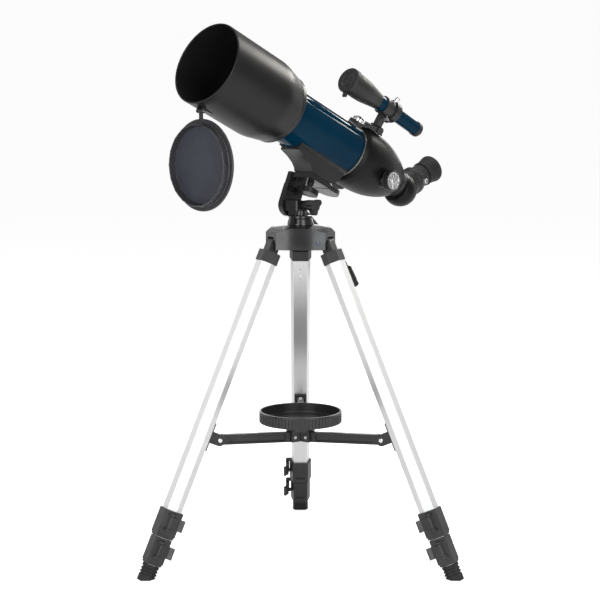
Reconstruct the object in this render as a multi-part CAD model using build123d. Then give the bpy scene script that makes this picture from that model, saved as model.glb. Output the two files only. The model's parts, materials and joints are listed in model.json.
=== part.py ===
from build123d import *
from math import asin, atan2, cos, degrees, hypot, pi, radians, sin, tan
import os

# A small refracting telescope on a folding alt-azimuth tripod. Millimetres, +Z up.
# Three local frames are used. The floor frame stands on the floor with Z on the tripod's axis.
# A leg frame hangs from a leg's pivot: -Z runs down the leg, +X faces outward, Y is tangential.
# The tube frame starts at the front rim: +X runs back along the optical axis, +Z is the tube's top.

# ---- tripod: overall ----
LEG_ANGLES = (210, 330, 90)     # leg 1 front left, leg 2 front right, leg 3 rear
PIVOT_RADIUS = 39.4             # leg hinge from the tripod's axis
PIVOT_HEIGHT = 409.7
FOOT_RADIUS = 221.0
LEG_WIDTH = 26.0
LEG_INNER_FLAT = 18.6
LEG_OUTER_FLAT = 14.0
LEG_INNER_DEPTH = 9.4
LEG_OUTER_DEPTH = 10.8
LEG_WALL = 1.0
SECTION_GAP = 0.4               # all round, between nested leg sections
PIN_RADIUS = 2.5
RUN_FIT = 0.05                  # radial running clearance on every shaft
SIDE_GAP = 0.3                  # between faces that move past each other

LUG_WIDTH = 14.4
SOCKET_TOP = 12.5               # distances down the leg from its hinge
SOCKET_END = 27.0
SOCKET_PLUG = 18.0
CLIP_STATION = 257.0
CLIP_LENGTH = 37.0
CLIP_HALF = 8.3
CLIP_PLATE = 2.2
CLIP_REACH = 25.0               # strut pivot, inward from the leg's middle
LOCK_LENGTH = 35.0
LOCK_SEAT = 15.0                # how far a tube enters its lock
FOOT_LENGTH = 18.5
LEVER_SIDES = (1, -1, 1)        # side of each leg that carries the levers

# ---- hub and neck ----
HUB_BOTTOM = 401.5
HUB_TOP = 431.5
ARM_REACH = 43.6
ARM_HALF = 13.0
PANEL_REACH = 37.0              # middle of each bowed panel between two arms
ROOF_START = 20.0
ROOF_SLOPE = 18.9
SHOULDER_SLOPE = 0.15           # fall of the roof towards the panels, mm per mm
ROOF_WALL = 5.8
NECK_RADIUS = 16.9
NECK_TOP_RADIUS = 15.3
NECK_HEIGHT = 11.8
SPINDLE_RADIUS = 5.0
SPINDLE_REACH = 8.0             # above the neck

# ---- spreader and tray ----
STRUT_TILT = 4.2                # rise from the centre to the leg when locked open
STRUT_HEIGHT = 13.0
STRUT_WIDTH = 8.0
STRUT_TIP = 5.0
INNER_PIVOT_RADIUS = 12.0
EAR_THICKNESS = 3.0
EAR_GAP = 8.8
TRAY_RADIUS = 53.6
TRAY_WALL = 2.0
TRAY_DEPTH = 15.2
TRAY_STANDOFF = 6.5
TRAY_RIBS = 72

# ---- head ----
AZIMUTH = 45.43                 # of the tube's rear end, from +X
ALTITUDE = 23.71
TILT_RISE = 13.0                # tilt axis above the neck's top
BLOCK_HALF = 12.0
BLOCK_LEFT = 17.2
BLOCK_RIGHT = 5.0
BLOCK_HEIGHT = 13.2
BOLT_RADIUS = 3.0
PLATE_THICKNESS = 7.0
PLATE_HALF = 15.0
TILT_DROP = 95.8                # tilt axis below the optical axis
TILT_STATION = 215.9            # tilt axis behind the front rim
SADDLE_BASE = 54.5              # saddle's flat foot below the optical axis
PAD_THICKNESS = 0.8
PLATFORM_THICKNESS = 7.0
PLATFORM_FRONT = 203.0
PLATFORM_REAR = 242.0
SADDLE_HALF = 16.0
SCREW_STATION = 221.6
SCREW_RADIUS = 3.17             # 1/4-20 photographic screw
KNOB_RADIUS = 13.6
KNOB_THICKNESS = 6.8

# ---- tube assembly: stations run back from the front rim ----
TUBE_RADIUS = 35.4
TUBE_WALL = 1.5
SHIELD_RADIUS = 52.0
SHIELD_WALL = 2.0
SHIELD_LENGTH = 99.0
TAPER_LENGTH = 26.0
CELL_RADIUS = 45.4
CELL_LENGTH = 7.6
LENS_RADIUS = 42.0
TUBE_SHOWN = 127.6
BELL_RADIUS = 42.0
BELL_LENGTH = 106.0
BELL_WALL = 2.5
BELL_MOUTH = 18.4
TRIM_WIDTH = 2.4
DRAW_RADIUS = 14.0
DRAW_WALL = 1.4
DRAW_TRAVEL = 35.0
MODULE = 0.8
PINION_TEETH = 10
PINION_SETBACK = 56.4           # behind the bell's front edge
FOCUS_KNOB_RADIUS = 13.7
FOCUS_KNOB_THICKNESS = 10.8
BOSS_REACH = 40.2               # pinion bearings' ends, beside the bell
BARREL_RADIUS = 15.875          # 1.25 inch eyepiece fit
DIAGONAL_RADIUS = 23.2
DIAGONAL_DROP = 4.4             # ball's middle below the optical axis
EYE_ANGLE = 45.0
EYE_INSET = 4.9                 # eyepiece stations start this far before the axes cross
CUP_RADIUS = 19.0
EYE_LENGTH = 72.0

# ---- finder ----
FINDER_ROLL = 22.4              # round the tube from its top
FINDER_OFFSET = 78.6            # between the two optical axes
FINDER_FRONT = 203.0
FINDER_CAP_RADIUS = 17.0
FINDER_BODY_RADIUS = 15.8
FINDER_TUBE_RADIUS = 10.3
FINDER_REAR_RADIUS = 9.2
FINDER_LENGTH = 154.5
FINDER_PITCH = 1.0

# ---- dust cap ----
CAP_RADIUS = 55.0
CAP_FLANGE = 3.0
CAP_PLUG = 9.0
CAP_DROP = 64.0                 # cap's middle below its hinge
HINGE_STATION = 14.0
HINGE_GAP = 3.6                 # hinge pin below the shield

# ---- worked out from the sizes above ----
LEG_LENGTH = hypot(FOOT_RADIUS - PIVOT_RADIUS, PIVOT_HEIGHT)
SPLAY = degrees(atan2(FOOT_RADIUS - PIVOT_RADIUS, PIVOT_HEIGHT))
FOOT_TOP = LEG_LENGTH - FOOT_LENGTH
LOWER_LOCK_TOP = FOOT_TOP - LOCK_LENGTH - 0.6
UPPER_LOCK_TOP = LOWER_LOCK_TOP - LOCK_LENGTH - 0.8
OUTER_PIVOT = hypot(CLIP_STATION, CLIP_REACH)
OUTER_ANGLE = SPLAY - degrees(atan2(CLIP_REACH, CLIP_STATION))
STRUT_OUTER = PIVOT_RADIUS + OUTER_PIVOT * sin(radians(OUTER_ANGLE))
STRUT_OUTER_Z = PIVOT_HEIGHT - OUTER_PIVOT * cos(radians(OUTER_ANGLE))
STRUT_LENGTH = (STRUT_OUTER - INNER_PIVOT_RADIUS) / cos(radians(STRUT_TILT))
STRUT_INNER_Z = STRUT_OUTER_Z - STRUT_LENGTH * sin(radians(STRUT_TILT))
NECK_TOP = HUB_TOP + NECK_HEIGHT
TILT_HEIGHT = NECK_TOP + TILT_RISE
CELL_FRONT = SHIELD_LENGTH + TAPER_LENGTH + 0.4
CELL_REAR = CELL_FRONT + CELL_LENGTH
TUBE_SEAT = CELL_FRONT + 2.5
BELL_FRONT = CELL_REAR + TUBE_SHOWN
BELL_REAR = BELL_FRONT + BELL_LENGTH
PINION_STATION = BELL_FRONT + PINION_SETBACK
PITCH_RADIUS = MODULE * PINION_TEETH / 2
RACK_LINE = DRAW_RADIUS + 2 * MODULE
PINION_DROP = RACK_LINE + PITCH_RADIUS
EYE_STATION = BELL_REAR + 24.1  # where the eyepiece's axis leaves the optical axis
BALL_STATION = BELL_REAR + 22.0

# ---- placements ----
HEAD = Rot(Z=AZIMUTH)
TUBE = HEAD * Pos(0, 0, TILT_HEIGHT) * Rot(Y=ALTITUDE) * Pos(-TILT_STATION, 0, TILT_DROP)
HOLDER = Pos(EYE_STATION, 0, 0) * Rot(Y=-EYE_ANGLE) * Pos(-EYE_INSET, 0, 0)
EYE = TUBE * HOLDER
FINDER = TUBE * Rot(X=FINDER_ROLL)


def leg_frame(angle):
    """Places a leg: hung from its hinge and splayed outward."""
    return Rot(Z=angle) * Pos(PIVOT_RADIUS, 0, PIVOT_HEIGHT) * Rot(Y=-SPLAY)


# ---- small shapes ----
def block(x0, x1, y0, y1, z0, z1):
    """Rectangular block between two corners."""
    return Pos((x0 + x1) / 2, (y0 + y1) / 2, (z0 + z1) / 2) * Box(x1 - x0, y1 - y0, z1 - z0)


def rod(radius, start, end):
    """Straight round bar between two points."""
    way = Vector(*end) - Vector(*start)
    return extrude(Plane(origin=start, z_dir=way) * Circle(radius), way.length)


def turned(*corners):
    """Solid of revolution about X from (station, radius) corners."""
    return revolve(make_face(Polyline(*corners, close=True)), Axis.X)


def ring(x0, x1, inner, outer):
    """Plain ring about X."""
    return turned((x0, inner), (x1, inner), (x1, outer), (x0, outer))


def ribbed_face(radius, depth, count):
    """Disc whose edge is cut into equal square ribs."""
    points = []
    for index in range(count):
        for turn, reach in ((0, radius), (0.5, radius), (0.5, radius - depth), (1, radius - depth)):
            angle = 2 * pi * (index + turn) / count
            points.append((reach * cos(angle), reach * sin(angle)))
    return make_face(Polyline(*points, close=True))


def side_profile(*corners):
    """Face in the XZ plane from (x, z) corners."""
    return make_face(Polyline(*[(x, 0, z) for x, z in corners], close=True))


def slab(face, y0, y1):
    """A face in the XZ plane, carried from y0 to y1."""
    return Pos(0, (y0 + y1) / 2, 0) * extrude(face, (y1 - y0) / 2, both=True, dir=(0, 1, 0))


# ---- legs ----
def leg_face(grow):
    """Six-sided leg section: widest at its middle, with a wide flat inside and a narrow one outside."""
    half = LEG_WIDTH / 2
    corners = ((-LEG_INNER_DEPTH, -LEG_INNER_FLAT / 2), (0, -half), (LEG_OUTER_DEPTH, -LEG_OUTER_FLAT / 2),
               (LEG_OUTER_DEPTH, LEG_OUTER_FLAT / 2), (0, half), (-LEG_INNER_DEPTH, LEG_INNER_FLAT / 2))
    face = make_face(Polyline(*corners, close=True))
    if grow:
        face = offset(face, grow, kind=Kind.INTERSECTION)
    return face


def leg_bar(grow, top, end):
    """Solid leg section between two distances down the leg."""
    return Pos(0, 0, -end) * extrude(leg_face(grow), end - top)


def leg_tube(grow, top, end):
    """Hollow leg section whose outside stands at the given growth."""
    return leg_bar(grow, top, end) - leg_bar(grow - LEG_WALL, top - 1, end + 1)


MIDDLE_GROW = -LEG_WALL - SECTION_GAP
LOWER_GROW = MIDDLE_GROW - LEG_WALL - SECTION_GAP
UPPER_END = UPPER_LOCK_TOP + LOCK_SEAT
MIDDLE_TOP = SOCKET_END + SOCKET_PLUG + 12
MIDDLE_END = LOWER_LOCK_TOP + LOCK_SEAT
LOWER_TOP = MIDDLE_TOP + 25
SECTION_TRAVEL = min(UPPER_LOCK_TOP - MIDDLE_TOP, LOWER_LOCK_TOP - LOWER_TOP) - 60


def leg_socket():
    """Top fitting: a hinge lug, a six-sided shoulder and a plug that fills the tube's end."""
    lug_radius = 7.0
    lug = rod(lug_radius, (0, -LUG_WIDTH / 2, 0), (0, LUG_WIDTH / 2, 0))
    lug += block(-lug_radius, lug_radius, -LUG_WIDTH / 2, LUG_WIDTH / 2, -SOCKET_TOP - 1, 0)
    shoulder = leg_bar(1.3, SOCKET_TOP, SOCKET_END)
    plug = leg_bar(-LEG_WALL, SOCKET_END - 1, SOCKET_END + SOCKET_PLUG)
    bore = rod(PIN_RADIUS + RUN_FIT, (0, -LUG_WIDTH, 0), (0, LUG_WIDTH, 0))
    return lug + shoulder + plug - bore


def strut_clip():
    """Plate on the leg's inner face with two ears that hold a strut's end between them."""
    top = CLIP_STATION - CLIP_LENGTH / 2
    face = -LEG_INNER_DEPTH
    clip = block(face - CLIP_PLATE, face, -CLIP_HALF, CLIP_HALF, -top - CLIP_LENGTH, -top)
    ear_radius = 7.5
    for side in (1, -1):
        y0, y1 = sorted((side * EAR_GAP / 2, side * (EAR_GAP / 2 + EAR_THICKNESS)))
        clip += block(-CLIP_REACH, face, y0, y1, -CLIP_STATION - ear_radius, -CLIP_STATION + ear_radius)
        clip += rod(ear_radius, (-CLIP_REACH, y0, -CLIP_STATION), (-CLIP_REACH, y1, -CLIP_STATION))
    return clip - block(-CLIP_REACH, face + 1, -EAR_GAP / 2, EAR_GAP / 2, -CLIP_STATION - 13, -CLIP_STATION + 13)


def leg_lock(top, outside, side):
    """Clamp collar: the upper tube seats in it and the next one slides through."""
    end = top + LOCK_LENGTH
    seat_grow = outside
    collar = leg_bar(seat_grow + 2.3, top, end - 3) + leg_bar(seat_grow + 1.3, end - 3, end)
    collar -= leg_bar(seat_grow, top - 1, top + LOCK_SEAT)
    collar -= leg_bar(seat_grow - LEG_WALL - SECTION_GAP + 0.15, top, end + 1)
    inner = -LEG_INNER_DEPTH - seat_grow - 2.3
    collar -= block(inner - 1, inner + 1.2, -6.5, 6.5, -end + 8, -top - 6)
    for z in (-top - 4.6, -top - 23.6):
        y0, y1 = sorted((side * (LEG_WIDTH / 2 + seat_grow - 2), side * LEVER_Y))
        knuckle = block(HINGE_X - 2.6, HINGE_X + 2.6, y0, y1, z - 1.4, z + 1.4)
        knuckle += rod(2.6, (HINGE_X, side * LEVER_Y, z - 1.4), (HINGE_X, side * LEVER_Y, z + 1.4))
        collar += knuckle - leg_bar(seat_grow, top - 1, end + 1)
    collar += rod(1.2, (HINGE_X, side * LEVER_Y, -top - 25), (HINGE_X, side * LEVER_Y, -top - 3.2))
    return collar


HINGE_X = 6.0
LEVER_Y = 18.6
LEVER_TOP = 6.6                 # below the lock's top
LEVER_HEIGHT = 15.0


def lock_lever(top, side):
    """Flip lever: a knuckle on the lock's pin and a pad along the lock's side with a lifted tip."""
    z1 = -top - LEVER_TOP
    z0 = z1 - LEVER_HEIGHT
    pad = ((HINGE_X, LEVER_Y - 1.7), (-7.0, LEVER_Y - 1.7), (-12.0, LEVER_Y + 3.6), (-10.0, LEVER_Y + 5.6),
           (-5.5, LEVER_Y + 1.9), (HINGE_X, LEVER_Y + 2.6))
    face = make_face(Polyline(*[(x, side * y) for x, y in pad], close=True))
    lever = Pos(0, 0, z0) * extrude(face, LEVER_HEIGHT, dir=(0, 0, 1))
    lever += rod(2.6, (HINGE_X, side * LEVER_Y, z0), (HINGE_X, side * LEVER_Y, z1))
    return lever - rod(1.2 + RUN_FIT, (HINGE_X, side * LEVER_Y, z0 - 1), (HINGE_X, side * LEVER_Y, z1 + 1))


def middle_section(side):
    """Middle tube with the lower lock fixed on its end."""
    tube = leg_tube(MIDDLE_GROW, MIDDLE_TOP, MIDDLE_END)
    return [tube, leg_lock(LOWER_LOCK_TOP, MIDDLE_GROW, side)]


def lower_section(angle):
    """Lower tube with its ribbed rubber foot, cut level where it meets the floor."""
    tube = leg_tube(LOWER_GROW, LOWER_TOP, FOOT_TOP + 5)
    foot = leg_bar(-1.6, FOOT_TOP, LEG_LENGTH + 10) - leg_bar(LOWER_GROW, FOOT_TOP - 1, FOOT_TOP + 5)
    for step in range(3):
        z = -FOOT_TOP - 4 - 4 * step
        foot -= leg_bar(2, -z, -z + 1.6) - leg_bar(-2.6, -z - 1, -z + 3)
    below = leg_frame(angle).inverse() * block(-400, 400, -400, 400, -80, 0)
    return [tube, foot - below]


def leg_nodes(number, angle, side):
    """All nodes of one leg, in their places."""
    place = leg_frame(angle)
    name = f"leg_{number}_"
    return {
        name + "fittings": [place * leg_socket(), place * strut_clip()],
        name + "upper_tube": [place * leg_tube(0, SOCKET_END, UPPER_END)],
        name + "upper_lock": [place * leg_lock(UPPER_LOCK_TOP, 0, side)],
        name + "upper_lever": [place * lock_lever(UPPER_LOCK_TOP, side)],
        name + "middle": [place * piece for piece in middle_section(side)],
        name + "lower_lever": [place * lock_lever(LOWER_LOCK_TOP, side)],
        name + "lower": [place * piece for piece in lower_section(angle)],
    }


# ---- hub, neck, spreader, tray ----
def hub_plan():
    """Outline from above: three flat-ended arms joined by gently bowed panels."""
    edges = []
    reach = hypot(ARM_REACH, ARM_HALF)
    half_turn = degrees(atan2(ARM_HALF, ARM_REACH))
    for angle in LEG_ANGLES:
        turns = (angle - half_turn, angle + half_turn, angle + 60, angle + 120 - half_turn)
        reaches = (reach, reach, PANEL_REACH, reach)
        near, far, middle, following = [(r * cos(radians(turn)), r * sin(radians(turn)))
                                        for r, turn in zip(reaches, turns)]
        edges += [Line(near, far), ThreePointArc(far, middle, following)]
    return make_face(edges)


def hub():
    """Crown: three arms under a pitched roof, each with a slot for a leg's lug."""
    fall = SHOULDER_SLOPE * (60 - ROOF_START)
    shoulders = side_profile((0, HUB_BOTTOM), (60, HUB_BOTTOM), (60, HUB_TOP - fall), (ROOF_START, HUB_TOP), (0, HUB_TOP))
    body = Pos(0, 0, HUB_BOTTOM) * extrude(hub_plan(), HUB_TOP - HUB_BOTTOM)
    body &= revolve(shoulders, Axis.Z)
    roof_z = HUB_TOP - (ARM_REACH - ROOF_START) * tan(radians(ROOF_SLOPE))
    for angle in LEG_ANGLES:
        arm = Rot(Z=angle)
        body -= arm * Pos(ROOF_START, 0, HUB_TOP) * Rot(Y=ROOF_SLOPE) * block(-30, 70, -60, 60, 0, 40)
        body -= arm * block(PIVOT_RADIUS - 10, ARM_REACH + 20, -LUG_WIDTH / 2 - SIDE_GAP,
                            LUG_WIDTH / 2 + SIDE_GAP, HUB_BOTTOM - 1, roof_z - ROOF_WALL)
        body -= arm * rod(PIN_RADIUS, (PIVOT_RADIUS, -ARM_HALF - 1, PIVOT_HEIGHT),
                          (PIVOT_RADIUS, ARM_HALF + 1, PIVOT_HEIGHT))
    return body


def leg_pins():
    """Three hinge pins, pressed into the hub's ears."""
    half = ARM_HALF - 0.4
    return [Rot(Z=angle) * rod(PIN_RADIUS, (PIVOT_RADIUS, -half, PIVOT_HEIGHT), (PIVOT_RADIUS, half, PIVOT_HEIGHT))
            for angle in LEG_ANGLES]


def neck():
    """Flared collar on the hub with a turned top ring and the spindle the head pans on."""
    outline = ((0, 0), (NECK_RADIUS, 0), (NECK_RADIUS, 1.6), (NECK_TOP_RADIUS, NECK_HEIGHT - 4.2),
               (NECK_TOP_RADIUS - 0.9, NECK_HEIGHT - 3.8), (NECK_TOP_RADIUS - 0.9, NECK_HEIGHT - 3.0),
               (NECK_TOP_RADIUS, NECK_HEIGHT - 2.6), (NECK_TOP_RADIUS, NECK_HEIGHT),
               (SPINDLE_RADIUS, NECK_HEIGHT), (SPINDLE_RADIUS, NECK_HEIGHT + SPINDLE_REACH),
               (0, NECK_HEIGHT + SPINDLE_REACH))
    return Pos(0, 0, HUB_TOP) * revolve(side_profile(*outline), Axis.Z)


ROOF_GAP = 7.9
EAR_OUT = INNER_PIVOT_RADIUS + 5


def spreader():
    """Centre of the spreader: a round roof with three pairs of ears under it."""
    top = STRUT_INNER_Z + ROOF_GAP
    body = Pos(0, 0, top + 2) * Cylinder(EAR_OUT + 2, 4)
    body += Pos(0, 0, top - 7) * Cylinder(5.5, 14)
    for angle in LEG_ANGLES:
        for side in (1, -1):
            y0, y1 = sorted((side * EAR_GAP / 2, side * (EAR_GAP / 2 + EAR_THICKNESS)))
            body += Rot(Z=angle) * block(5, EAR_OUT, y0, y1, STRUT_INNER_Z - 6, top + 1)
    for angle in LEG_ANGLES:
        body -= Rot(Z=angle) * block(6.1, EAR_OUT + 9, -EAR_GAP / 2, EAR_GAP / 2, STRUT_INNER_Z - 9, top)
        body -= Rot(Z=angle) * pivot_bar(PIN_RADIUS - 0.5, 10)
    return body


def pivot_bar(radius, half):
    """Bar on a strut's inner pivot, before it is turned to its leg."""
    return rod(radius, (INNER_PIVOT_RADIUS, -half, STRUT_INNER_Z), (INNER_PIVOT_RADIUS, half, STRUT_INNER_Z))


def spreader_pins():
    """Three pins that carry the struts."""
    half = EAR_GAP / 2 + EAR_THICKNESS + 0.8
    return [Rot(Z=angle) * pivot_bar(PIN_RADIUS - 0.5, half) for angle in LEG_ANGLES]


def strut():
    """Flat bar with a channel down each side, an eye at the centre and a round tip in the leg's clip."""
    half = STRUT_WIDTH / 2
    tip_x = STRUT_LENGTH
    arm_half = STRUT_HEIGHT / 2
    body = block(4, tip_x - 6, -half, half, -arm_half, arm_half)
    body += rod(5.5, (0, -half, 0), (0, half, 0))
    body += rod(STRUT_TIP, (tip_x, -half, 0), (tip_x, half, 0))
    body += block(0, tip_x, -half, half, -STRUT_TIP, STRUT_TIP)
    for side in (1, -1):
        y0, y1 = sorted((side * (half - 2.4), side * (half + 1)))
        body -= block(12, tip_x - 14, y0, y1, -arm_half + 2.2, arm_half - 2.2)
    body -= rod(PIN_RADIUS - 0.5 + RUN_FIT, (0, -half - 1, 0), (0, half + 1, 0))
    return Pos(INNER_PIVOT_RADIUS, 0, STRUT_INNER_Z) * Rot(Y=-STRUT_TILT) * body


def tray():
    """Round accessory tray on a boss, with ribs round its wall and a smooth rim."""
    base = STRUT_INNER_Z + ROOF_GAP + 4
    floor = base + TRAY_STANDOFF
    rim = floor + TRAY_DEPTH
    body = Pos(0, 0, floor) * extrude(ribbed_face(TRAY_RADIUS, 0.9, TRAY_RIBS), TRAY_DEPTH - 2.6)
    body += Pos(0, 0, rim - 1.3) * Cylinder(TRAY_RADIUS, 2.6)
    body -= Pos(0, 0, floor + 2.2 + TRAY_DEPTH / 2) * Cylinder(TRAY_RADIUS - TRAY_WALL - 0.6, TRAY_DEPTH)
    body += Pos(0, 0, base + TRAY_STANDOFF / 2) * Cylinder(9, TRAY_STANDOFF)
    return body + Pos(0, 0, floor + 3) * Cylinder(11, 3)


# ---- head ----
def pan_block():
    """Block that turns on the neck and carries the tilt bolt."""
    low = TILT_HEIGHT - 6.6
    body = block(-BLOCK_HALF, BLOCK_HALF, -BLOCK_RIGHT, BLOCK_LEFT, low, low + BLOCK_HEIGHT)
    body = fillet(body.edges().filter_by(Axis.Z), 2.5)
    body += block(-BLOCK_HALF + 3, BLOCK_HALF - 3, -BLOCK_RIGHT + 4, BLOCK_LEFT - 4.2, NECK_TOP + SIDE_GAP, low)
    body += Pos(0, 0, (NECK_TOP + SIDE_GAP + low) / 2) * Cylinder(SPINDLE_RADIUS + 2.5, low - NECK_TOP - SIDE_GAP)
    body -= rod(SPINDLE_RADIUS + RUN_FIT, (0, 0, NECK_TOP - 1), (0, 0, NECK_TOP + SPINDLE_REACH + SIDE_GAP))
    body -= rod(BOLT_RADIUS, (0, -30, TILT_HEIGHT), (0, 30, TILT_HEIGHT))
    return body - rod(HANDLE_RADIUS, HANDLE_PATH[0], HANDLE_PATH[1])


HANDLE_RADIUS = 2.8
HANDLE_PATH = ((8.5, 8.8, TILT_HEIGHT - 0.9), (53.0, 25.0, TILT_HEIGHT - 26.8),
               (110.0, 25.0, TILT_HEIGHT - 82.6), (129.0, 25.0, TILT_HEIGHT - 111.5))
GRIP_START = 0.25               # share of the last run that stays bare


def handle_rod():
    """Bent steel rod of the pan handle: out of the block, clear of the hub, then down."""
    path = FilletPolyline(*HANDLE_PATH, radius=9)
    return sweep(Plane(origin=path @ 0, z_dir=path % 0) * Circle(HANDLE_RADIUS), path)


def handle_grip():
    """Round grip on the rod's end."""
    start, end = Vector(*HANDLE_PATH[-2]), Vector(*HANDLE_PATH[-1])
    way = (end - start).normalized()
    begin = start + (end - start) * GRIP_START
    close = end + way * 4
    grip = rod(6.3, tuple(begin), tuple(close))
    grip = chamfer(grip.edges().filter_by(GeomType.CIRCLE), 1.4)
    return grip - rod(HANDLE_RADIUS, tuple(start), tuple(end))


def tilt_bolt():
    """Bolt through the pan block and the side plate, with a round head on the far side."""
    head = BLOCK_LEFT + SIDE_GAP + PLATE_THICKNESS + 2.5 + SIDE_GAP
    bolt = rod(BOLT_RADIUS, (0, -BLOCK_RIGHT - 19, TILT_HEIGHT), (0, head + 1, TILT_HEIGHT))
    return bolt + rod(6, (0, head, TILT_HEIGHT), (0, head + 3.2, TILT_HEIGHT))


def tilt_knob():
    """Three-lobed clamping knob on the bolt's near end."""
    start = -BLOCK_RIGHT - 14
    end = -BLOCK_RIGHT - 22.5
    body = rod(7.5, (0, start, 0), (0, end, 0))
    for lobe in range(3):
        turn = Rot(Y=90 + 120 * lobe)
        arm = rod(3.9, (8.0, start - 0.6, 0), (8.0, end, 0)) + block(0, 8.0, end, start - 0.6, -3.9, 3.9)
        body += turn * arm
    body += rod(5, (0, -BLOCK_RIGHT - SIDE_GAP, 0), (0, start, 0))
    body -= rod(BOLT_RADIUS + RUN_FIT, (0, 0, 0), (0, -BLOCK_RIGHT - 20, 0))
    return Pos(0, 0, TILT_HEIGHT) * body


def platform():
    """Tilting bracket: a side plate on the bolt, a platform under the saddle and a rear tongue."""
    inner = BLOCK_LEFT + SIDE_GAP
    outer = inner + PLATE_THICKNESS
    top = -SADDLE_BASE - PAD_THICKNESS
    front, rear = TILT_STATION - PLATE_HALF, TILT_STATION + PLATE_HALF
    plate = block(front, rear, inner, outer, -TILT_DROP, top)
    plate += rod(PLATE_HALF, (TILT_STATION, inner, -TILT_DROP), (TILT_STATION, outer, -TILT_DROP))
    plate += block(front + 1.5, rear - 1.5, outer, outer + 2.5, -TILT_DROP, top - 16)
    plate += rod(PLATE_HALF - 1.5, (TILT_STATION, outer, -TILT_DROP), (TILT_STATION, outer + 2.5, -TILT_DROP))
    deck = block(PLATFORM_FRONT, PLATFORM_REAR, -SADDLE_HALF, outer, top - PLATFORM_THICKNESS, top)
    deck += block(PLATFORM_REAR - 2, PLATFORM_REAR + 16, -SADDLE_HALF + 1, SADDLE_HALF, top - 7.4, top - 1.2)
    deck += rod(SADDLE_HALF - 1, (PLATFORM_REAR + 14, 0, top - 7.4), (PLATFORM_REAR + 14, 0, top - 1.2))
    web = side_profile((rear - 8, top - PLATFORM_THICKNESS), (rear, top - PLATFORM_THICKNESS),
                       (rear, top - PLATFORM_THICKNESS - 12))
    body = plate + deck + slab(web, inner - 0.01, outer)
    body -= rod(BOLT_RADIUS + RUN_FIT, (TILT_STATION, inner - 1, -TILT_DROP), (TILT_STATION, outer + 4, -TILT_DROP))
    return body - rod(SCREW_RADIUS + 0.25, (SCREW_STATION, 0, top - 9), (SCREW_STATION, 0, top + 1))


def platform_pad():
    """Thin rubber pad between platform and saddle."""
    pad = block(PLATFORM_FRONT + 1, PLATFORM_REAR - 1, -SADDLE_HALF + 1, SADDLE_HALF - 1,
                -SADDLE_BASE - PAD_THICKNESS, -SADDLE_BASE)
    return pad - rod(SCREW_RADIUS + 0.25, (SCREW_STATION, 0, -SADDLE_BASE - 2), (SCREW_STATION, 0, -SADDLE_BASE + 1))


def mount_screw():
    """Captive photographic screw with a ribbed disc to turn it."""
    top = -SADDLE_BASE - PAD_THICKNESS - PLATFORM_THICKNESS - SIDE_GAP
    disc_top = top - 8.5
    place = Pos(SCREW_STATION, 0, 0)
    disc = Pos(0, 0, disc_top - KNOB_THICKNESS) * extrude(ribbed_face(KNOB_RADIUS, 0.8, 36), KNOB_THICKNESS)
    disc -= rod(SCREW_RADIUS, (0, 0, disc_top - 9), (0, 0, disc_top + 1))
    stud = rod(SCREW_RADIUS, (0, 0, disc_top - KNOB_THICKNESS), (0, 0, -SADDLE_BASE + 8))
    stud += rod(5.2, (0, 0, disc_top), (0, 0, disc_top + 3)) + rod(4.4, (0, 0, disc_top + 5), (0, 0, top))
    return [place * disc, place * stud]


def saddle():
    """Cradle: curved seat on the tube's underside that narrows to a flat foot."""
    base = -SADDLE_BASE
    seat = -TUBE_RADIUS - 3
    outline = side_profile((PLATFORM_FRONT, base), (PLATFORM_REAR, base), (PLATFORM_REAR + 9, base + 5),
                           (PLATFORM_REAR + 17, seat + 1), (PLATFORM_REAR + 17, seat + 14),
                           (PLATFORM_FRONT - 34, seat + 14), (PLATFORM_FRONT - 34, seat),
                           (PLATFORM_FRONT - 20, seat - 3.2), (PLATFORM_FRONT - 9, seat - 7.4),
                           (PLATFORM_FRONT - 2.5, seat - 12))
    body = slab(outline, -SADDLE_HALF, SADDLE_HALF)
    flange = ring(PLATFORM_FRONT - 35, PLATFORM_REAR + 18, TUBE_RADIUS, TUBE_RADIUS + 2.6)
    body += flange & block(0, 500, -SADDLE_HALF - 4, SADDLE_HALF + 4, -60, -20)
    body -= rod(TUBE_RADIUS, (0, 0, 0), (500, 0, 0))
    return body - rod(SCREW_RADIUS + RUN_FIT, (SCREW_STATION, 0, base - 1), (SCREW_STATION, 0, base + 9))


# ---- tube assembly, in the tube frame ----
SPIGOT_RADIUS = CELL_RADIUS - 1.2
SHIELD_THROAT = SPIGOT_RADIUS
SPIGOT_FRONT = CELL_FRONT - 22


def dew_shield():
    """Front hood: a cylinder that tapers to the lens cell, with the dust cap's hinge lug under its rim."""
    end = SHIELD_LENGTH + TAPER_LENGTH
    inside = SHIELD_RADIUS - SHIELD_WALL
    body = turned((0, inside), (SHIELD_LENGTH - 4, inside), (end - 14, SHIELD_THROAT), (end, SHIELD_THROAT),
                  (end, CELL_RADIUS + 0.6), (end - 3, CELL_RADIUS + 1.4), (SHIELD_LENGTH, SHIELD_RADIUS),
                  (1.0, SHIELD_RADIUS), (0, SHIELD_RADIUS - 0.8))
    pin_z = -SHIELD_RADIUS - HINGE_GAP
    for side in (1, -1):
        y0, y1 = sorted((side * 3.5, side * 5.6))
        ear = block(HINGE_STATION - 2.6, HINGE_STATION + 2.6, y0, y1, pin_z, -SHIELD_RADIUS + 1)
        body += ear + rod(2.6, (HINGE_STATION, y0, pin_z), (HINGE_STATION, y1, pin_z))
    body += block(HINGE_STATION + 2, HINGE_STATION + 17, -3.4, 3.4, -SHIELD_RADIUS - 1.6, -SHIELD_RADIUS + 1)
    return body + rod(1.3, (HINGE_STATION, -4, pin_z), (HINGE_STATION, 4, pin_z))


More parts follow.
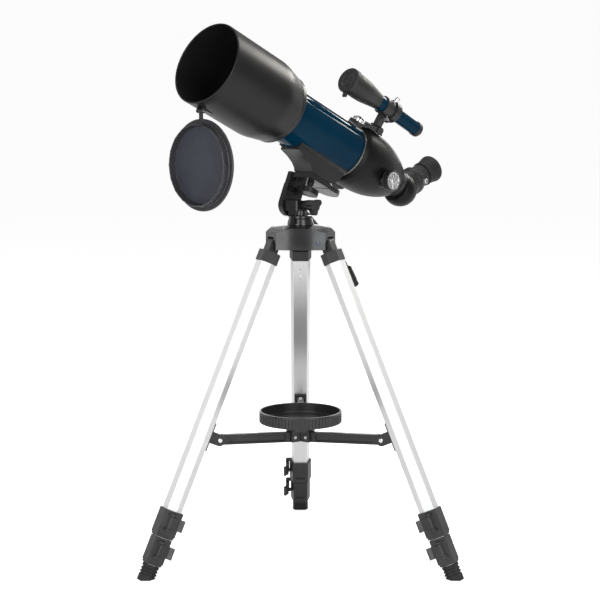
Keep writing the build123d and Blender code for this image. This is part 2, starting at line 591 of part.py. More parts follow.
def lens_cell():
    """Ring that joins shield and tube and holds the objective in its front end."""
    return turned((SPIGOT_FRONT, LENS_RADIUS), (SPIGOT_FRONT + 13, LENS_RADIUS), (SPIGOT_FRONT + 13, LENS_RADIUS - 2),
                  (TUBE_SEAT - 3, TUBE_RADIUS - 2), (TUBE_SEAT, TUBE_RADIUS - 2), (TUBE_SEAT, TUBE_RADIUS),
                  (CELL_REAR, TUBE_RADIUS), (CELL_REAR, CELL_RADIUS - 1), (CELL_REAR - 1, CELL_RADIUS),
                  (CELL_FRONT + 1, CELL_RADIUS), (CELL_FRONT, CELL_RADIUS - 0.8), (CELL_FRONT, SPIGOT_RADIUS),
                  (SPIGOT_FRONT, SPIGOT_RADIUS))


def sphere_middle(x, bulge, radius):
    """Point halfway along the arc of a sphere centred on the axis, from the edge at x."""
    sphere = (radius ** 2 + bulge ** 2) / (2 * abs(bulge))
    half = asin(radius / sphere) / 2
    rise = abs(bulge) - sphere * (1 - cos(half))
    return (x + rise if bulge > 0 else x - rise, sphere * sin(half))


def lens(front, thick, front_bulge, rear_bulge, radius):
    """Round lens about X: each face is an arc that stands out from its edge by its bulge."""
    rear = front + thick
    top = Line((front, radius), (rear, radius))
    back = ThreePointArc((rear, radius), sphere_middle(rear, rear_bulge, radius), (rear + rear_bulge, 0))
    axis = Line((rear + rear_bulge, 0), (front - front_bulge, 0))
    nose = ThreePointArc((front - front_bulge, 0), sphere_middle(front, -front_bulge, radius), (front, radius))
    return revolve(make_face([top, back, axis, nose]), Axis.X)


def objective():
    """Two-element achromat: a crown and a flint with a thin air gap."""
    crown = lens(SPIGOT_FRONT + 3.2, 3.0, 2.4, 1.8, LENS_RADIUS)
    flint = lens(SPIGOT_FRONT + 8.4, 3.4, -1.9, 0.2, LENS_RADIUS)
    return [crown, flint]


def main_tube():
    """Rolled metal tube from the lens cell to the focuser housing."""
    return ring(TUBE_SEAT, BELL_FRONT + 12, TUBE_RADIUS - TUBE_WALL, TUBE_RADIUS)


def trim_ring():
    """Thin metal ring where the tube enters the focuser housing."""
    return ring(BELL_FRONT, BELL_FRONT + TRIM_WIDTH, TUBE_RADIUS, TUBE_RADIUS + 2.2)


BELL_SHAPE = ((0, 0.9), (0.04, 0.955), (0.115, 0.99), (0.26, 1.0), (0.405, 0.985), (0.549, 0.945), (0.694, 0.862),
              (0.839, 0.735), (0.955, 0.595), (1.0, 0.53))


def bell_outline(inset):
    """Bell's wall line as (station, radius) points, drawn in by the inset."""
    start = BELL_FRONT + TRIM_WIDTH
    return [(start + share * (BELL_REAR - start), BELL_RADIUS * size - inset) for share, size in BELL_SHAPE]


def bell_solid(inset):
    """Solid bell: a smooth curve through its wall line, turned about the axis."""
    points = bell_outline(inset)
    wall = Spline(*points)
    close = Polyline(points[-1], (points[-1][0], 0), (points[0][0], 0), points[0])
    return revolve(make_face([wall, close]), Axis.X)


SLEEVE_RADIUS = DRAW_RADIUS + 4.4


def focuser_body():
    """Bell-shaped rear housing with the drawtube's sleeve, the pinion's box and its bearings."""
    start = BELL_FRONT + TRIM_WIDTH
    hollow = bell_solid(BELL_WALL) - block(BELL_REAR - 16, BELL_REAR + 20, -60, 60, -60, 60)
    body = bell_solid(0) - hollow
    body -= block(BELL_FRONT - 5, start + 0.01, -60, 60, -60, 60)
    body += ring(start, BELL_FRONT + 14, TUBE_RADIUS - 0.5, TUBE_RADIUS + 2)
    body -= rod(TUBE_RADIUS, (start - 1, 0, 0), (BELL_FRONT + 14, 0, 0))
    body += ring(PINION_STATION - 10, BELL_REAR, DRAW_RADIUS + RUN_FIT, SLEEVE_RADIUS)
    body += block(PINION_STATION - 8, PINION_STATION + 8, -9, 9, -PINION_DROP - 7.5, -DRAW_RADIUS + 2)
    body += rod(7, (PINION_STATION, -BOSS_REACH, -PINION_DROP), (PINION_STATION, BOSS_REACH, -PINION_DROP))
    body -= rod(DRAW_RADIUS + RUN_FIT, (start - 1, 0, 0), (BELL_REAR + 5, 0, 0))
    body -= block(start - 1, BELL_REAR + 5, -3.6, 3.6, -RACK_LINE - MODULE - 0.4, 0)
    body -= rod(PITCH_RADIUS + 1.2, (PINION_STATION, -4.5, -PINION_DROP), (PINION_STATION, 4.5, -PINION_DROP))
    return body - rod(2 + RUN_FIT, (PINION_STATION, -60, -PINION_DROP), (PINION_STATION, 60, -PINION_DROP))


SOCKET_START = BELL_REAR + 0.8
SOCKET_REAR = SOCKET_START + 10
RACK_FRONT = PINION_STATION - DRAW_TRAVEL - 8
RACK_REAR = PINION_STATION + 8


def rack():
    """Straight toothed strip under the drawtube, in mesh with the pinion at rest."""
    pitch = pi * MODULE
    root, tip = RACK_LINE - 0.9, RACK_LINE + 0.6
    body = block(RACK_FRONT, RACK_REAR, -3, 3, -root, -DRAW_RADIUS + 0.5)
    first = int((RACK_FRONT - PINION_STATION) / pitch) + 1
    last = int((RACK_REAR - PINION_STATION) / pitch)
    for index in range(first, last):
        x = PINION_STATION + (index + 0.5) * pitch
        tooth = side_profile((x - 0.75, -root + 0.1), (x + 0.75, -root + 0.1), (x + 0.3, -tip), (x - 0.3, -tip))
        body += slab(tooth, -3, 3)
    return body - rod(DRAW_RADIUS - 0.3, (RACK_FRONT - 1, 0, 0), (RACK_REAR + 1, 0, 0))


def drawtube():
    """Sliding tube with a rack beneath and a wider socket for the diagonal behind."""
    body = ring(RACK_FRONT - 4, SOCKET_START + 1, DRAW_RADIUS - DRAW_WALL, DRAW_RADIUS)
    body += ring(SOCKET_START, SOCKET_START + 1.6, DRAW_RADIUS - DRAW_WALL, BARREL_RADIUS + 3)
    body += ring(SOCKET_START, SOCKET_REAR, BARREL_RADIUS + RUN_FIT, BARREL_RADIUS + 3)
    return body + rack()


def pinion():
    """Focus shaft with its toothed pinion."""
    root, tip = PITCH_RADIUS - 0.9, PITCH_RADIUS + 0.6
    body = rod(root, (0, -4, 0), (0, 4, 0))
    for index in range(PINION_TEETH):
        tooth = side_profile((-0.72, root - 0.5), (0.72, root - 0.5), (0.28, tip), (-0.28, tip))
        body += Rot(Y=360 * index / PINION_TEETH) * slab(tooth, -4, 4)
    reach = BOSS_REACH + FOCUS_KNOB_THICKNESS - 1
    body += rod(2, (0, -reach, 0), (0, reach, 0))
    return Pos(PINION_STATION, 0, -PINION_DROP) * body


def focus_knobs():
    """A ribbed knob on each end of the focus shaft."""
    knobs = []
    for turn in (90, -90):
        disc = extrude(ribbed_face(FOCUS_KNOB_RADIUS, 0.7, 40), FOCUS_KNOB_THICKNESS)
        disc -= Pos(0, 0, FOCUS_KNOB_THICKNESS) * Cylinder(FOCUS_KNOB_RADIUS - 1.6, 1.2)
        disc += Pos(0, 0, FOCUS_KNOB_THICKNESS - 0.8) * Cylinder(FOCUS_KNOB_RADIUS - 2.0, 0.8)
        disc = Pos(0, 0, BOSS_REACH + SIDE_GAP) * disc
        disc -= rod(2, (0, 0, 0), (0, 0, BOSS_REACH + FOCUS_KNOB_THICKNESS - 1))
        knobs.append(Pos(PINION_STATION, 0, -PINION_DROP) * Rot(X=turn) * disc)
    return knobs


def diagonal():
    """Prism housing: a nose in the drawtube's socket, a round body and an upward eyepiece holder."""
    centre = Pos(BALL_STATION, 0, -DIAGONAL_DROP)
    face = SOCKET_REAR + 0.4
    ball = centre * Sphere(DIAGONAL_RADIUS)
    ball -= block(face - 60, face, -60, 60, -60, 60)
    body = ball + HOLDER * (ring(8, 31, 0.001, 17.9) + ring(24.5, 31, 0.001, 19.2))
    body += turned((face, 0), (face + 5, 0), (face + 5, 19.6), (face, 19.6))
    body += rod(BARREL_RADIUS, (SOCKET_START + 2.2, 0, 0), (face + 1, 0, 0))
    body -= HOLDER * turned((10, 0), (15.5, 0), (15.5, 12.5), (10, 12.5))
    body -= HOLDER * rod(BARREL_RADIUS + RUN_FIT, (15.5, 0, 0), (40, 0, 0))
    body -= rod(12.5, (SOCKET_START, 0, 0), (BALL_STATION, 0, 0))
    return body - centre * Sphere(DIAGONAL_RADIUS - 2.6)


def prism():
    """Glass prism that turns the light up by the eyepiece's angle."""
    x = EYE_STATION
    outline = side_profile((x - 6.5, -9), (x - 6.5, 9), (x + 1.0, 12.4), (x + 12.4, 1.0), (x + 8.5, -10.5))
    return slab(outline, -7.5, 7.5)


def eyepiece():
    """Eyepiece body: a barrel in the holder, a shoulder and a ribbed grip."""
    body = rod(BARREL_RADIUS, (16, 0, 0), (33, 0, 0)) + ring(31.3, 34.5, 0.001, 17.2)
    grip = Rot(Y=90) * extrude(ribbed_face(15.6, 0.6, 30), 15)
    body += Pos(34.5, 0, 0) * grip + ring(49, 57, 0.001, 14.6)
    return body - turned((15, 0), (60, 0), (60, 9.5), (46, 12.5), (15, 13.6))


def eyepiece_lenses():
    """Field lens and eye lens."""
    return [lens(28, 3.5, 0.3, 1.8, 12.4), lens(50.5, 2.6, 1.2, 0.3, 9.9)]


def eyecup():
    """Flared rubber eyecup."""
    end = EYE_LENGTH
    return turned((49.7, 14.6), (57, 14.6), (57.2, 12), (58.6, 12), (62, 14.5), (end, CUP_RADIUS - 1.8),
                  (end, CUP_RADIUS), (end - 2, CUP_RADIUS + 0.2), (62, 17.6), (55, 16.6), (49.7, 16.8))


# ---- finder, in the tube frame rolled to the finder's side ----
def finder_lift(piece):
    """Moves a piece from the X axis to the finder's axis, which dips a little to the rear."""
    return Pos(FINDER_FRONT, 0, FINDER_OFFSET) * Rot(Y=FINDER_PITCH) * Pos(-FINDER_FRONT, 0, 0) * piece


BODY_FRONT = FINDER_FRONT + 9.5
BODY_REAR = FINDER_FRONT + 62
FINDER_END = FINDER_FRONT + FINDER_LENGTH
RING_FRONT = FINDER_FRONT + 73
RING_REAR = RING_FRONT + 26.5


def finder_body():
    """Front housing that widens to the objective, and the ring at the eye end."""
    r = FINDER_BODY_RADIUS
    housing = turned((BODY_FRONT - 4, r - 1.6), (BODY_FRONT + 22, r - 1.9), (BODY_REAR - 8, FINDER_TUBE_RADIUS),
                     (BODY_REAR, FINDER_TUBE_RADIUS), (BODY_REAR, FINDER_TUBE_RADIUS + 0.6),
                     (BODY_REAR - 12, FINDER_TUBE_RADIUS + 2.0), (BODY_FRONT + 26, r - 0.2), (BODY_FRONT + 12, r),
                     (BODY_FRONT, r), (BODY_FRONT, r - 0.4), (BODY_FRONT - 4, r - 0.4))
    end = turned((FINDER_END - 8, FINDER_REAR_RADIUS), (FINDER_END - 2, FINDER_REAR_RADIUS), (FINDER_END - 2, 5.5),
                 (FINDER_END, 6.5), (FINDER_END, FINDER_REAR_RADIUS - 0.2), (FINDER_END - 1, FINDER_REAR_RADIUS + 0.8),
                 (FINDER_END - 8, FINDER_REAR_RADIUS + 0.8))
    return [finder_lift(housing), finder_lift(end)]


def finder_tube():
    """Coloured finder tube, stepped down behind the bracket's ring."""
    step = RING_REAR - 3
    return finder_lift(turned((BODY_REAR - 8, FINDER_TUBE_RADIUS - 1.2), (step - 2, FINDER_TUBE_RADIUS - 1.2),
                              (step - 2, FINDER_REAR_RADIUS - 1.2), (FINDER_END - 2.2, FINDER_REAR_RADIUS - 1.2),
                              (FINDER_END - 2.2, FINDER_REAR_RADIUS), (step, FINDER_REAR_RADIUS),
                              (step, FINDER_TUBE_RADIUS), (BODY_REAR - 8, FINDER_TUBE_RADIUS)))


def finder_cap():
    """Push-on cap with a ring and a cross in low relief and a pull tab."""
    front = FINDER_FRONT
    cap = turned((front, 0), (front, FINDER_CAP_RADIUS - 1), (front + 1, FINDER_CAP_RADIUS),
                 (front + 9.2, FINDER_CAP_RADIUS), (front + 9.2, FINDER_BODY_RADIUS - 0.3),
                 (front + 2.4, FINDER_BODY_RADIUS - 0.3), (front + 2.4, 0))
    cap -= ring(front - 1, front + 0.5, 8.6, 9.6)
    cap -= block(front - 1, front + 0.5, -0.5, 0.5, -8.7, 8.7) + block(front - 1, front + 0.5, -8.7, 8.7, -0.5, 0.5)
    tab = Rot(X=-FINDER_ROLL) * block(front + 1, front + 5, -2.4, 2.4, -FINDER_CAP_RADIUS - 6, -FINDER_CAP_RADIUS + 1)
    return finder_lift(cap + tab)


SHOE_FRONT = BELL_FRONT - 13.6
SHOE_REAR = BELL_FRONT - 0.4
SHOE_THICKNESS = 1.8
SHOE_HALF = 14.0
CLAMP_STATION = BELL_FRONT - 4.0
NUT_RADIUS = 8.8
NUT_SIDE = 4.0
DOME_RADIUS = 7.8
DOME_RISE = 3.4
FOOT_HALF = 8.5
FOOT_LEVEL = TUBE_RADIUS + SHOE_THICKNESS + 4.6
STEP_STATION = BELL_FRONT + 5.6  # where the arm steps up, just behind the nut
STEP_LEVEL = FOOT_LEVEL - 1.4
STALK_STATION = BELL_FRONT + 30
STALK_LEVEL = BELL_RADIUS + 4.6


def finder_shoe():
    """Curved metal shoe on the tube with the stud that clamps the bracket's foot."""
    body = ring(SHOE_FRONT, SHOE_REAR, TUBE_RADIUS, TUBE_RADIUS + SHOE_THICKNESS)
    body &= block(0, 500, -SHOE_HALF, SHOE_HALF, 20, 60)
    stud = rod(2, (CLAMP_STATION, 0, TUBE_RADIUS + 0.6), (CLAMP_STATION, 0, FOOT_LEVEL + 5))
    return body + stud


def finder_bracket():
    """Foot on the shoe that steps up over the housing, a stalk on a round knuckle and a ring round the finder."""
    rise = BELL_RADIUS + 0.7
    foot = side_profile((SHOE_FRONT + 2, 30), (STALK_STATION + 6, 30), (STALK_STATION + 8, rise + 1),
                        (STALK_STATION, STALK_LEVEL + 3), (STEP_STATION + 5, rise + 4.6), (STEP_STATION, FOOT_LEVEL),
                        (SHOE_FRONT + 2, FOOT_LEVEL))
    body = slab(foot, -FOOT_HALF, FOOT_HALF)
    body += rod(5.2, (STALK_STATION, -FOOT_HALF - 1.5, STALK_LEVEL), (STALK_STATION, FOOT_HALF + 1.5, STALK_LEVEL))
    body -= rod(TUBE_RADIUS + SHOE_THICKNESS, (0, 0, 0), (BELL_FRONT, 0, 0))
    body -= rod(STEP_LEVEL, (BELL_FRONT - 0.2, 0, 0), (STEP_STATION + 1, 0, 0))
    body -= rod(rise, (STEP_STATION + 1, 0, 0), (500, 0, 0))
    top = FINDER_OFFSET - FINDER_TUBE_RADIUS
    stalk = side_profile((STALK_STATION - 4.5, STALK_LEVEL), (STALK_STATION + 3.5, STALK_LEVEL),
                         (STALK_STATION + 1.5, top), (STALK_STATION - 8, top), (STALK_STATION - 6.5, STALK_LEVEL + 8))
    body += slab(stalk, -4.2, 4.2)
    sleeve = ring(RING_FRONT, RING_REAR - 9, FINDER_TUBE_RADIUS, FINDER_TUBE_RADIUS + 2.0)
    collar = ring(RING_REAR - 9.5, RING_REAR, FINDER_TUBE_RADIUS + 1.0, FINDER_TUBE_RADIUS + 4.2)
    body += finder_lift(sleeve + collar)
    body -= finder_lift(rod(FINDER_TUBE_RADIUS, (RING_FRONT - 5, 0, 0), (RING_REAR + 5, 0, 0)))
    for tip, head, _ in screw_lines():
        body -= finder_lift(rod(1.5, tip, head))
    return body - rod(2, (CLAMP_STATION, 0, 30), (CLAMP_STATION, 0, FOOT_LEVEL + 6))


def screw_lines():
    """The three aiming screws about the finder's axis: inner point, outer point and the head's outer point."""
    x = RING_FRONT + 13
    reaches = (FINDER_TUBE_RADIUS, FINDER_TUBE_RADIUS + 5.2, FINDER_TUBE_RADIUS + 9.5)
    turns = [radians(angle) for angle in (-22, 98, 218)]
    return [[(x, r * sin(turn), r * cos(turn)) for r in reaches] for turn in turns]


def finder_screws():
    """Three aiming screws and the domed, ribbed nut on the shoe's stud."""
    screws = [finder_lift(rod(1.5, tip, head) + rod(3.1, head, outer)) for tip, head, outer in screw_lines()]
    ball = (DOME_RADIUS ** 2 + DOME_RISE ** 2) / (2 * DOME_RISE)
    dome = Pos(0, 0, NUT_SIDE + DOME_RISE - ball) * Sphere(ball) & block(-20, 20, -20, 20, NUT_SIDE, 20)
    nut = extrude(ribbed_face(NUT_RADIUS, 0.6, 32), NUT_SIDE) + dome
    nut = Pos(CLAMP_STATION, 0, FOOT_LEVEL) * nut - rod(2, (CLAMP_STATION, 0, 30), (CLAMP_STATION, 0, FOOT_LEVEL + 5))
    return screws + [nut]


# ---- dust cap, hanging straight down from the shield's lug ----
CAP_PLACE = HEAD * Pos(0, 0, TILT_HEIGHT) * Rot(Y=ALTITUDE) * Pos(
    HINGE_STATION - TILT_STATION, 0, TILT_DROP - SHIELD_RADIUS - HINGE_GAP) * Rot(Y=-ALTITUDE)


def dust_cap():
    """Cap with a flange, a ribbed plug ring, a recessed middle and a moulded strap to its hinge eye."""
    plug = SHIELD_RADIUS - SHIELD_WALL - 0.4
    front = -CAP_PLUG
    cap = turned((front, plug - 2.2), (front, plug - 0.4), (front + 1, plug), (0, plug), (0, CAP_RADIUS - 0.6),
                 (0.6, CAP_RADIUS), (CAP_FLANGE, CAP_RADIUS), (CAP_FLANGE, CAP_RADIUS - 6), (CAP_FLANGE - 1, CAP_RADIUS - 7),
                 (CAP_FLANGE - 1, 0), (CAP_FLANGE - 3.4, 0), (CAP_FLANGE - 3.4, plug - 2.2))
    cap += ring(front + 2.5, CAP_FLANGE - 3, plug - 9, plug - 8)
    strap = block(-0.2, 1.6, -3.0, 3.0, CAP_RADIUS - 3, CAP_DROP)
    eye = rod(2.6, (0, -3.0, CAP_DROP), (0, 3.0, CAP_DROP))
    body = Pos(0, 0, -CAP_DROP) * (cap + strap + eye)
    return body - rod(1.3 + RUN_FIT, (0, -5, 0), (0, 5, 0))


# ---- the whole telescope ----
def all_nodes():
    """Every node's solids by name, still about the tripod's axis."""
    nodes = {"hub": [hub()], "leg_pins": leg_pins(), "neck": [neck()]}
    for number, (angle, side) in enumerate(zip(LEG_ANGLES, LEVER_SIDES), 1):
        nodes.update(leg_nodes(number, angle, side))
        nodes[f"strut_{number}"] = [Rot(Z=angle) * strut()]
    nodes["spreader"] = [spreader()]
    nodes["spreader_pins"] = spreader_pins()
    nodes["tray"] = [tray()]
    for name, piece in (("pan_block", pan_block), ("tilt_bolt", tilt_bolt), ("tilt_knob", tilt_knob),
                        ("handle_rod", handle_rod), ("handle_grip", handle_grip)):
        nodes[name] = [HEAD * piece()]
    for piece in (platform, platform_pad, mount_screw, saddle, main_tube, dew_shield, lens_cell, objective, trim_ring,
                  focuser_body, drawtube, pinion, focus_knobs, diagonal, prism):
        nodes[piece.__name__] = placed(TUBE, piece())
    for piece in (eyepiece, eyepiece_lenses, eyecup):
        nodes[piece.__name__] = placed(EYE, piece())
    for piece in (finder_body, finder_tube, finder_cap, finder_shoe, finder_bracket, finder_screws):
        nodes[piece.__name__] = placed(FINDER, piece())
    nodes["dust_cap"] = placed(CAP_PLACE, dust_cap())
    return nodes


def placed(place, pieces):
    """One piece or a list of them, moved to its place."""
    if not isinstance(pieces, list):
        pieces = [pieces]
    return [place * piece for piece in pieces]


def standing_shift(nodes):
    """Move that puts the origin on the floor under the middle of the whole object."""
    boxes = [piece.bounding_box() for pieces in nodes.values() for piece in pieces]
    low_x, high_x = min(box.min.X for box in boxes), max(box.max.X for box in boxes)
    low_y, high_y = min(box.min.Y for box in boxes), max(box.max.Y for box in boxes)
    return Pos(-(low_x + high_x) / 2, -(low_y + high_y) / 2, 0)


NODES = all_nodes()
SHIFT = standing_shift(NODES)
os.makedirs("parts", exist_ok=True)
for node, pieces in NODES.items():
    solids = [solid for piece in pieces for solid in (SHIFT * piece).solids()]
    export_step(solids[0] if len(solids) == 1 else Compound(children=solids), f"parts/{node}.step")
print(len(NODES), "nodes; tripod axis at", SHIFT.position)
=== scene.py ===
import json
import math

import bmesh
import bpy
import numpy as np
from mathutils import Matrix, Vector

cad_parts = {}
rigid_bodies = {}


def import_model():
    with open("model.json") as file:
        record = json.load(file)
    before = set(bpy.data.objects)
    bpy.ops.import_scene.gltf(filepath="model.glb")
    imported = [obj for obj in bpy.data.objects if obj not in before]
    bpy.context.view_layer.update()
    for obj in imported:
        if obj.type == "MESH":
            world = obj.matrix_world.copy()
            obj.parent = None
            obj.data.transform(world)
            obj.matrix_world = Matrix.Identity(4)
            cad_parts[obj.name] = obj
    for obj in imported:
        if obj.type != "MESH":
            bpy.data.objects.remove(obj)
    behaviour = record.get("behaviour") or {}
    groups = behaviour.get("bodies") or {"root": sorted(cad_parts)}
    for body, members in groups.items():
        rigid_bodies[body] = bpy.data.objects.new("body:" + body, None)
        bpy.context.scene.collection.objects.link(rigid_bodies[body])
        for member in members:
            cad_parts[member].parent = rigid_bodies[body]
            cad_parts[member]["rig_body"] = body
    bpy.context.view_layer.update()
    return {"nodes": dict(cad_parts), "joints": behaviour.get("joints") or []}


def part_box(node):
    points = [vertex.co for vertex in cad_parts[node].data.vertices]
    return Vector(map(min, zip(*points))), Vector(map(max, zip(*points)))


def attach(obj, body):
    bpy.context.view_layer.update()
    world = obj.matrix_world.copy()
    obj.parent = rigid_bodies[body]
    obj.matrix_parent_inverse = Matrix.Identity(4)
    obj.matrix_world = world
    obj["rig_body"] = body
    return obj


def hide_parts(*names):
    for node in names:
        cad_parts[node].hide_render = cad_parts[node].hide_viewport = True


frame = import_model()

# The looks of a small refracting telescope on its tripod. Lengths of pieces are in millimetres and become
# metres in the matrices that place them. The tube frame starts at the hood's rim: +X runs back along the
# optical axis, +Y is the tilt axis, +Z is the tube's top.

MM = 0.001
JOINTS = {joint["name"]: joint for joint in frame["joints"]}
UP = (0.0, 0.0, 1.0)

# ---- driving sizes ----
TILT_STATION, TILT_DROP = 215.9, 95.8       # tilt axis behind the rim and below the optical axis
SHIELD_RADIUS, SHIELD_WALL, SHIELD_LENGTH, TAPER_LENGTH = 52.0, 2.0, 99.0, 26.0
CELL_RADIUS, CELL_LENGTH, LENS_RADIUS = 45.4, 7.6, 42.0
TUBE_RADIUS, TUBE_WALL, TUBE_SHOWN = 35.4, 1.5, 127.6
BELL_RADIUS, BELL_LENGTH, TRIM_WIDTH = 42.0, 106.0, 2.4
RACK_CLEARANCE = 17.6                       # bore in the bell that lets the drawtube and its rack through
KNOB_RADIUS, KNOB_THICKNESS, BOSS_REACH = 13.7, 10.8, 40.2
BARREL_RADIUS, EYE_INSET = 15.875, 4.9
BALL_RADIUS, BALL_DROP, BALL_SETBACK = 23.2, 4.4, 22.0
FINDER_ROLL, FINDER_PITCH, FINDER_OFFSET, FINDER_FRONT = 22.4, 1.0, 78.6, 203.0
CAP_RADIUS, CAP_DROP, CAP_PLUG = 55.0, 64.0, 9.0
HINGE_STATION, HINGE_GAP = 14.0, 3.6
NECK_RADIUS, NECK_TOP_RADIUS, NECK_HEIGHT = 16.9, 15.3, 11.8
TRAY_RADIUS, TRAY_DEPTH, TRAY_RIBS = 53.6, 15.2, 72
CLIP_REACH, CLIP_EAR = 25.0, 7.4             # strut screw: inward from the leg's middle, and half the clip's width
LEG_INNER_DEPTH, CLIP_STATION, FOOT_LENGTH, LOCK_LENGTH = 9.4, 257.0, 18.5, 35.0
CELL_FRONT = SHIELD_LENGTH + TAPER_LENGTH + 0.4
CELL_REAR = CELL_FRONT + CELL_LENGTH
BELL_FRONT = CELL_REAR + TUBE_SHOWN
BELL_REAR = BELL_FRONT + BELL_LENGTH
SOCKET_REAR = BELL_REAR + 10.8


# ---- places ----
def place(origin, x_way, y_way):
    """Matrix from millimetres in a local frame to the row frame; Z is the cross product of X and Y."""
    matrix = np.eye(4)
    matrix[:3, 0], matrix[:3, 1] = np.array(x_way) * MM, np.array(y_way) * MM
    matrix[:3, 2] = np.cross(x_way, y_way) * MM
    matrix[:3, 3] = origin
    return matrix


def shift(x, y, z):
    """Matrix that moves by a step in millimetres."""
    matrix = np.eye(4)
    matrix[:3, 3] = (x, y, z)
    return matrix


def turn(axis, angle):
    """Matrix that turns about a local axis by degrees."""
    return np.array(Matrix.Rotation(math.radians(angle), 4, axis))


SIDE = np.array(JOINTS["tilt"]["axis"])
HEADING = np.cross(SIDE, UP)
REAR = np.array(JOINTS["drawtube_slide"]["axis"])
TUBE = place(JOINTS["tilt"]["pos_m"], REAR, SIDE) @ shift(-TILT_STATION, 0, TILT_DROP)
EYE = place(JOINTS["diagonal_turn"]["pos_m"], JOINTS["eyepiece_pull"]["axis"], SIDE) @ shift(-EYE_INSET, 0, 0)
BALL = TUBE @ shift(BELL_REAR + BALL_SETBACK, 0, -BALL_DROP)
FINDER = TUBE @ turn("X", FINDER_ROLL) @ shift(FINDER_FRONT, 0, FINDER_OFFSET) @ turn("Y", FINDER_PITCH)
CAP = place(JOINTS["dust_cap_swing"]["pos_m"], HEADING, SIDE) @ shift(0, 0, -CAP_DROP)
COLUMN = place(JOINTS["pan"]["pos_m"], UP, (0, 1, 0))       # X runs up the tripod's axis from the neck's top
FLOOR_COLUMN = COLUMN @ shift(-JOINTS["pan"]["pos_m"][2] / MM, 0, 0)
KNOBS = {side: place(JOINTS["focus_turn"]["pos_m"], SIDE * side, np.cross(UP, SIDE * side)) for side in (1, -1)}


def leg_place(number):
    """A leg's frame: X down the leg from its hinge, Y tangential, Z inward."""
    tangent = np.array(JOINTS[f"leg_{number}_fold"]["axis"])
    return place(JOINTS[f"leg_{number}_fold"]["pos_m"], JOINTS[f"leg_{number}_middle_slide"]["axis"], tangent)


LEGS = {number: leg_place(number) for number in (1, 2, 3)}


# ---- shader maths ----
class Wire:
    """A shader socket; sums and products with it add Math nodes to its finish."""

    def __init__(self, finish, socket):
        self.finish, self.socket = finish, socket

    def math(self, operation, *values):
        return self.finish.add("ShaderNodeMath", {"operation": operation}, values)

    def __add__(self, other):
        return self.math("ADD", self, other)

    def __mul__(self, other):
        return self.math("MULTIPLY", self, other)

    def __sub__(self, other):
        return self.math("SUBTRACT", self, other)

    def __rsub__(self, other):
        return self.math("SUBTRACT", other, self)

    __radd__, __rmul__ = __add__, __mul__

    def rise(self, low, high):
        """0 below low, 1 above high, and smooth between."""
        settings = {"interpolation_type": "SMOOTHSTEP"}
        return self.finish.add("ShaderNodeMapRange", settings, {0: self, 1: low, 2: high})


class Finish:
    """A material with its shader, and one method that adds any node."""

    def __init__(self, name, **fixed):
        self.material = bpy.data.materials.new(name)
        self.material.use_nodes = True
        self.tree = self.material.node_tree
        self.shader = self.tree.nodes["Principled BSDF"]
        for socket, value in fixed.items():
            self.shader.inputs[socket.replace("_", " ")].default_value = value
        self.place = Wire(self, self.tree.nodes.new("ShaderNodeTexCoord").outputs["Object"])

    def add(self, kind, settings, inputs, output=0):
        """Adds a node: its settings first, then the values or links of its inputs."""
        node = self.tree.nodes.new(kind)
        for name, value in settings.items():
            setattr(node, name, value)
        for key, value in inputs.items() if isinstance(inputs, dict) else enumerate(inputs):
            self.join(value, node.inputs[key])
        return Wire(self, node.outputs[output])

    def join(self, value, socket):
        """Links a wire to a socket, or sets the socket's own value."""
        if isinstance(value, Wire):
            self.tree.links.new(value.socket, socket)
        else:
            socket.default_value = value

    def noise(self, scale, detail=2.0, where=None):
        """Cloudy pattern of about 1/scale metres."""
        return self.add("ShaderNodeTexNoise", {}, {"Vector": where or self.place, "Scale": scale, "Detail": detail})

    def cells(self, scale, output=0, where=None):
        """Cellular pattern: the distance to the nearest cell's middle, or its random colour."""
        return self.add("ShaderNodeTexVoronoi", {}, {"Vector": where or self.place, "Scale": scale}, output)

    def blend(self, factor, first, second):
        """Colour between two, by a factor."""
        return self.add("ShaderNodeMix", {"data_type": "RGBA"}, {0: factor, 6: first, 7: second}, 2)

    def bump(self, height, depth, strength=1.0):
        """Relief of a height pattern, depth in millimetres."""
        self.join(self.add("ShaderNodeBump", {}, {"Height": height, "Distance": depth * MM, "Strength": strength}),
                  self.shader.inputs["Normal"])

    def wear(self, **wires):
        """Links patterns to the shader's inputs."""
        for name, wire in wires.items():
            self.join(wire, self.shader.inputs[name.replace("_", " ")])
        return self


def grey(value, tint=(1, 1, 1)):
    """A colour from a brightness and a tint."""
    return (value * tint[0], value * tint[1], value * tint[2], 1.0)


def moulded(name, dark, light, rough, grain, depth, coat=0.0):
    """Injection moulded plastic: flow clouds in the colour, handled patches in the gloss and a fine grain."""
    finish = Finish(name, IOR=1.5, Coat_Weight=coat, Coat_Roughness=0.08)
    clouds = finish.noise(18, 4)
    fine = finish.noise(grain, 3)
    smudges = finish.noise(45, 3).rise(0.42, 0.68)
    finish.bump(fine, depth, 0.35)
    return finish.wear(Base_Color=finish.blend(clouds.rise(0.3, 0.7), dark, light),
                       Roughness=rough + 0.09 * smudges + 0.06 * fine)


def powder_coat(name, dark, light, rough, shine=0.3):
    """Baked satin paint on metal: tiny rounded pimples and a faint unevenness of gloss."""
    finish = Finish(name, IOR=1.5, Specular_IOR_Level=shine)
    pimples = finish.cells(1500)
    fine = finish.noise(2600, 2)
    clouds = finish.noise(14, 4)
    finish.bump(pimples * 0.6 + fine * 0.5, 0.012, 0.4)
    return finish.wear(Base_Color=finish.blend(clouds.rise(0.3, 0.72), dark, light),
                       Roughness=rough + 0.1 * finish.noise(60, 3) + 0.05 * fine)


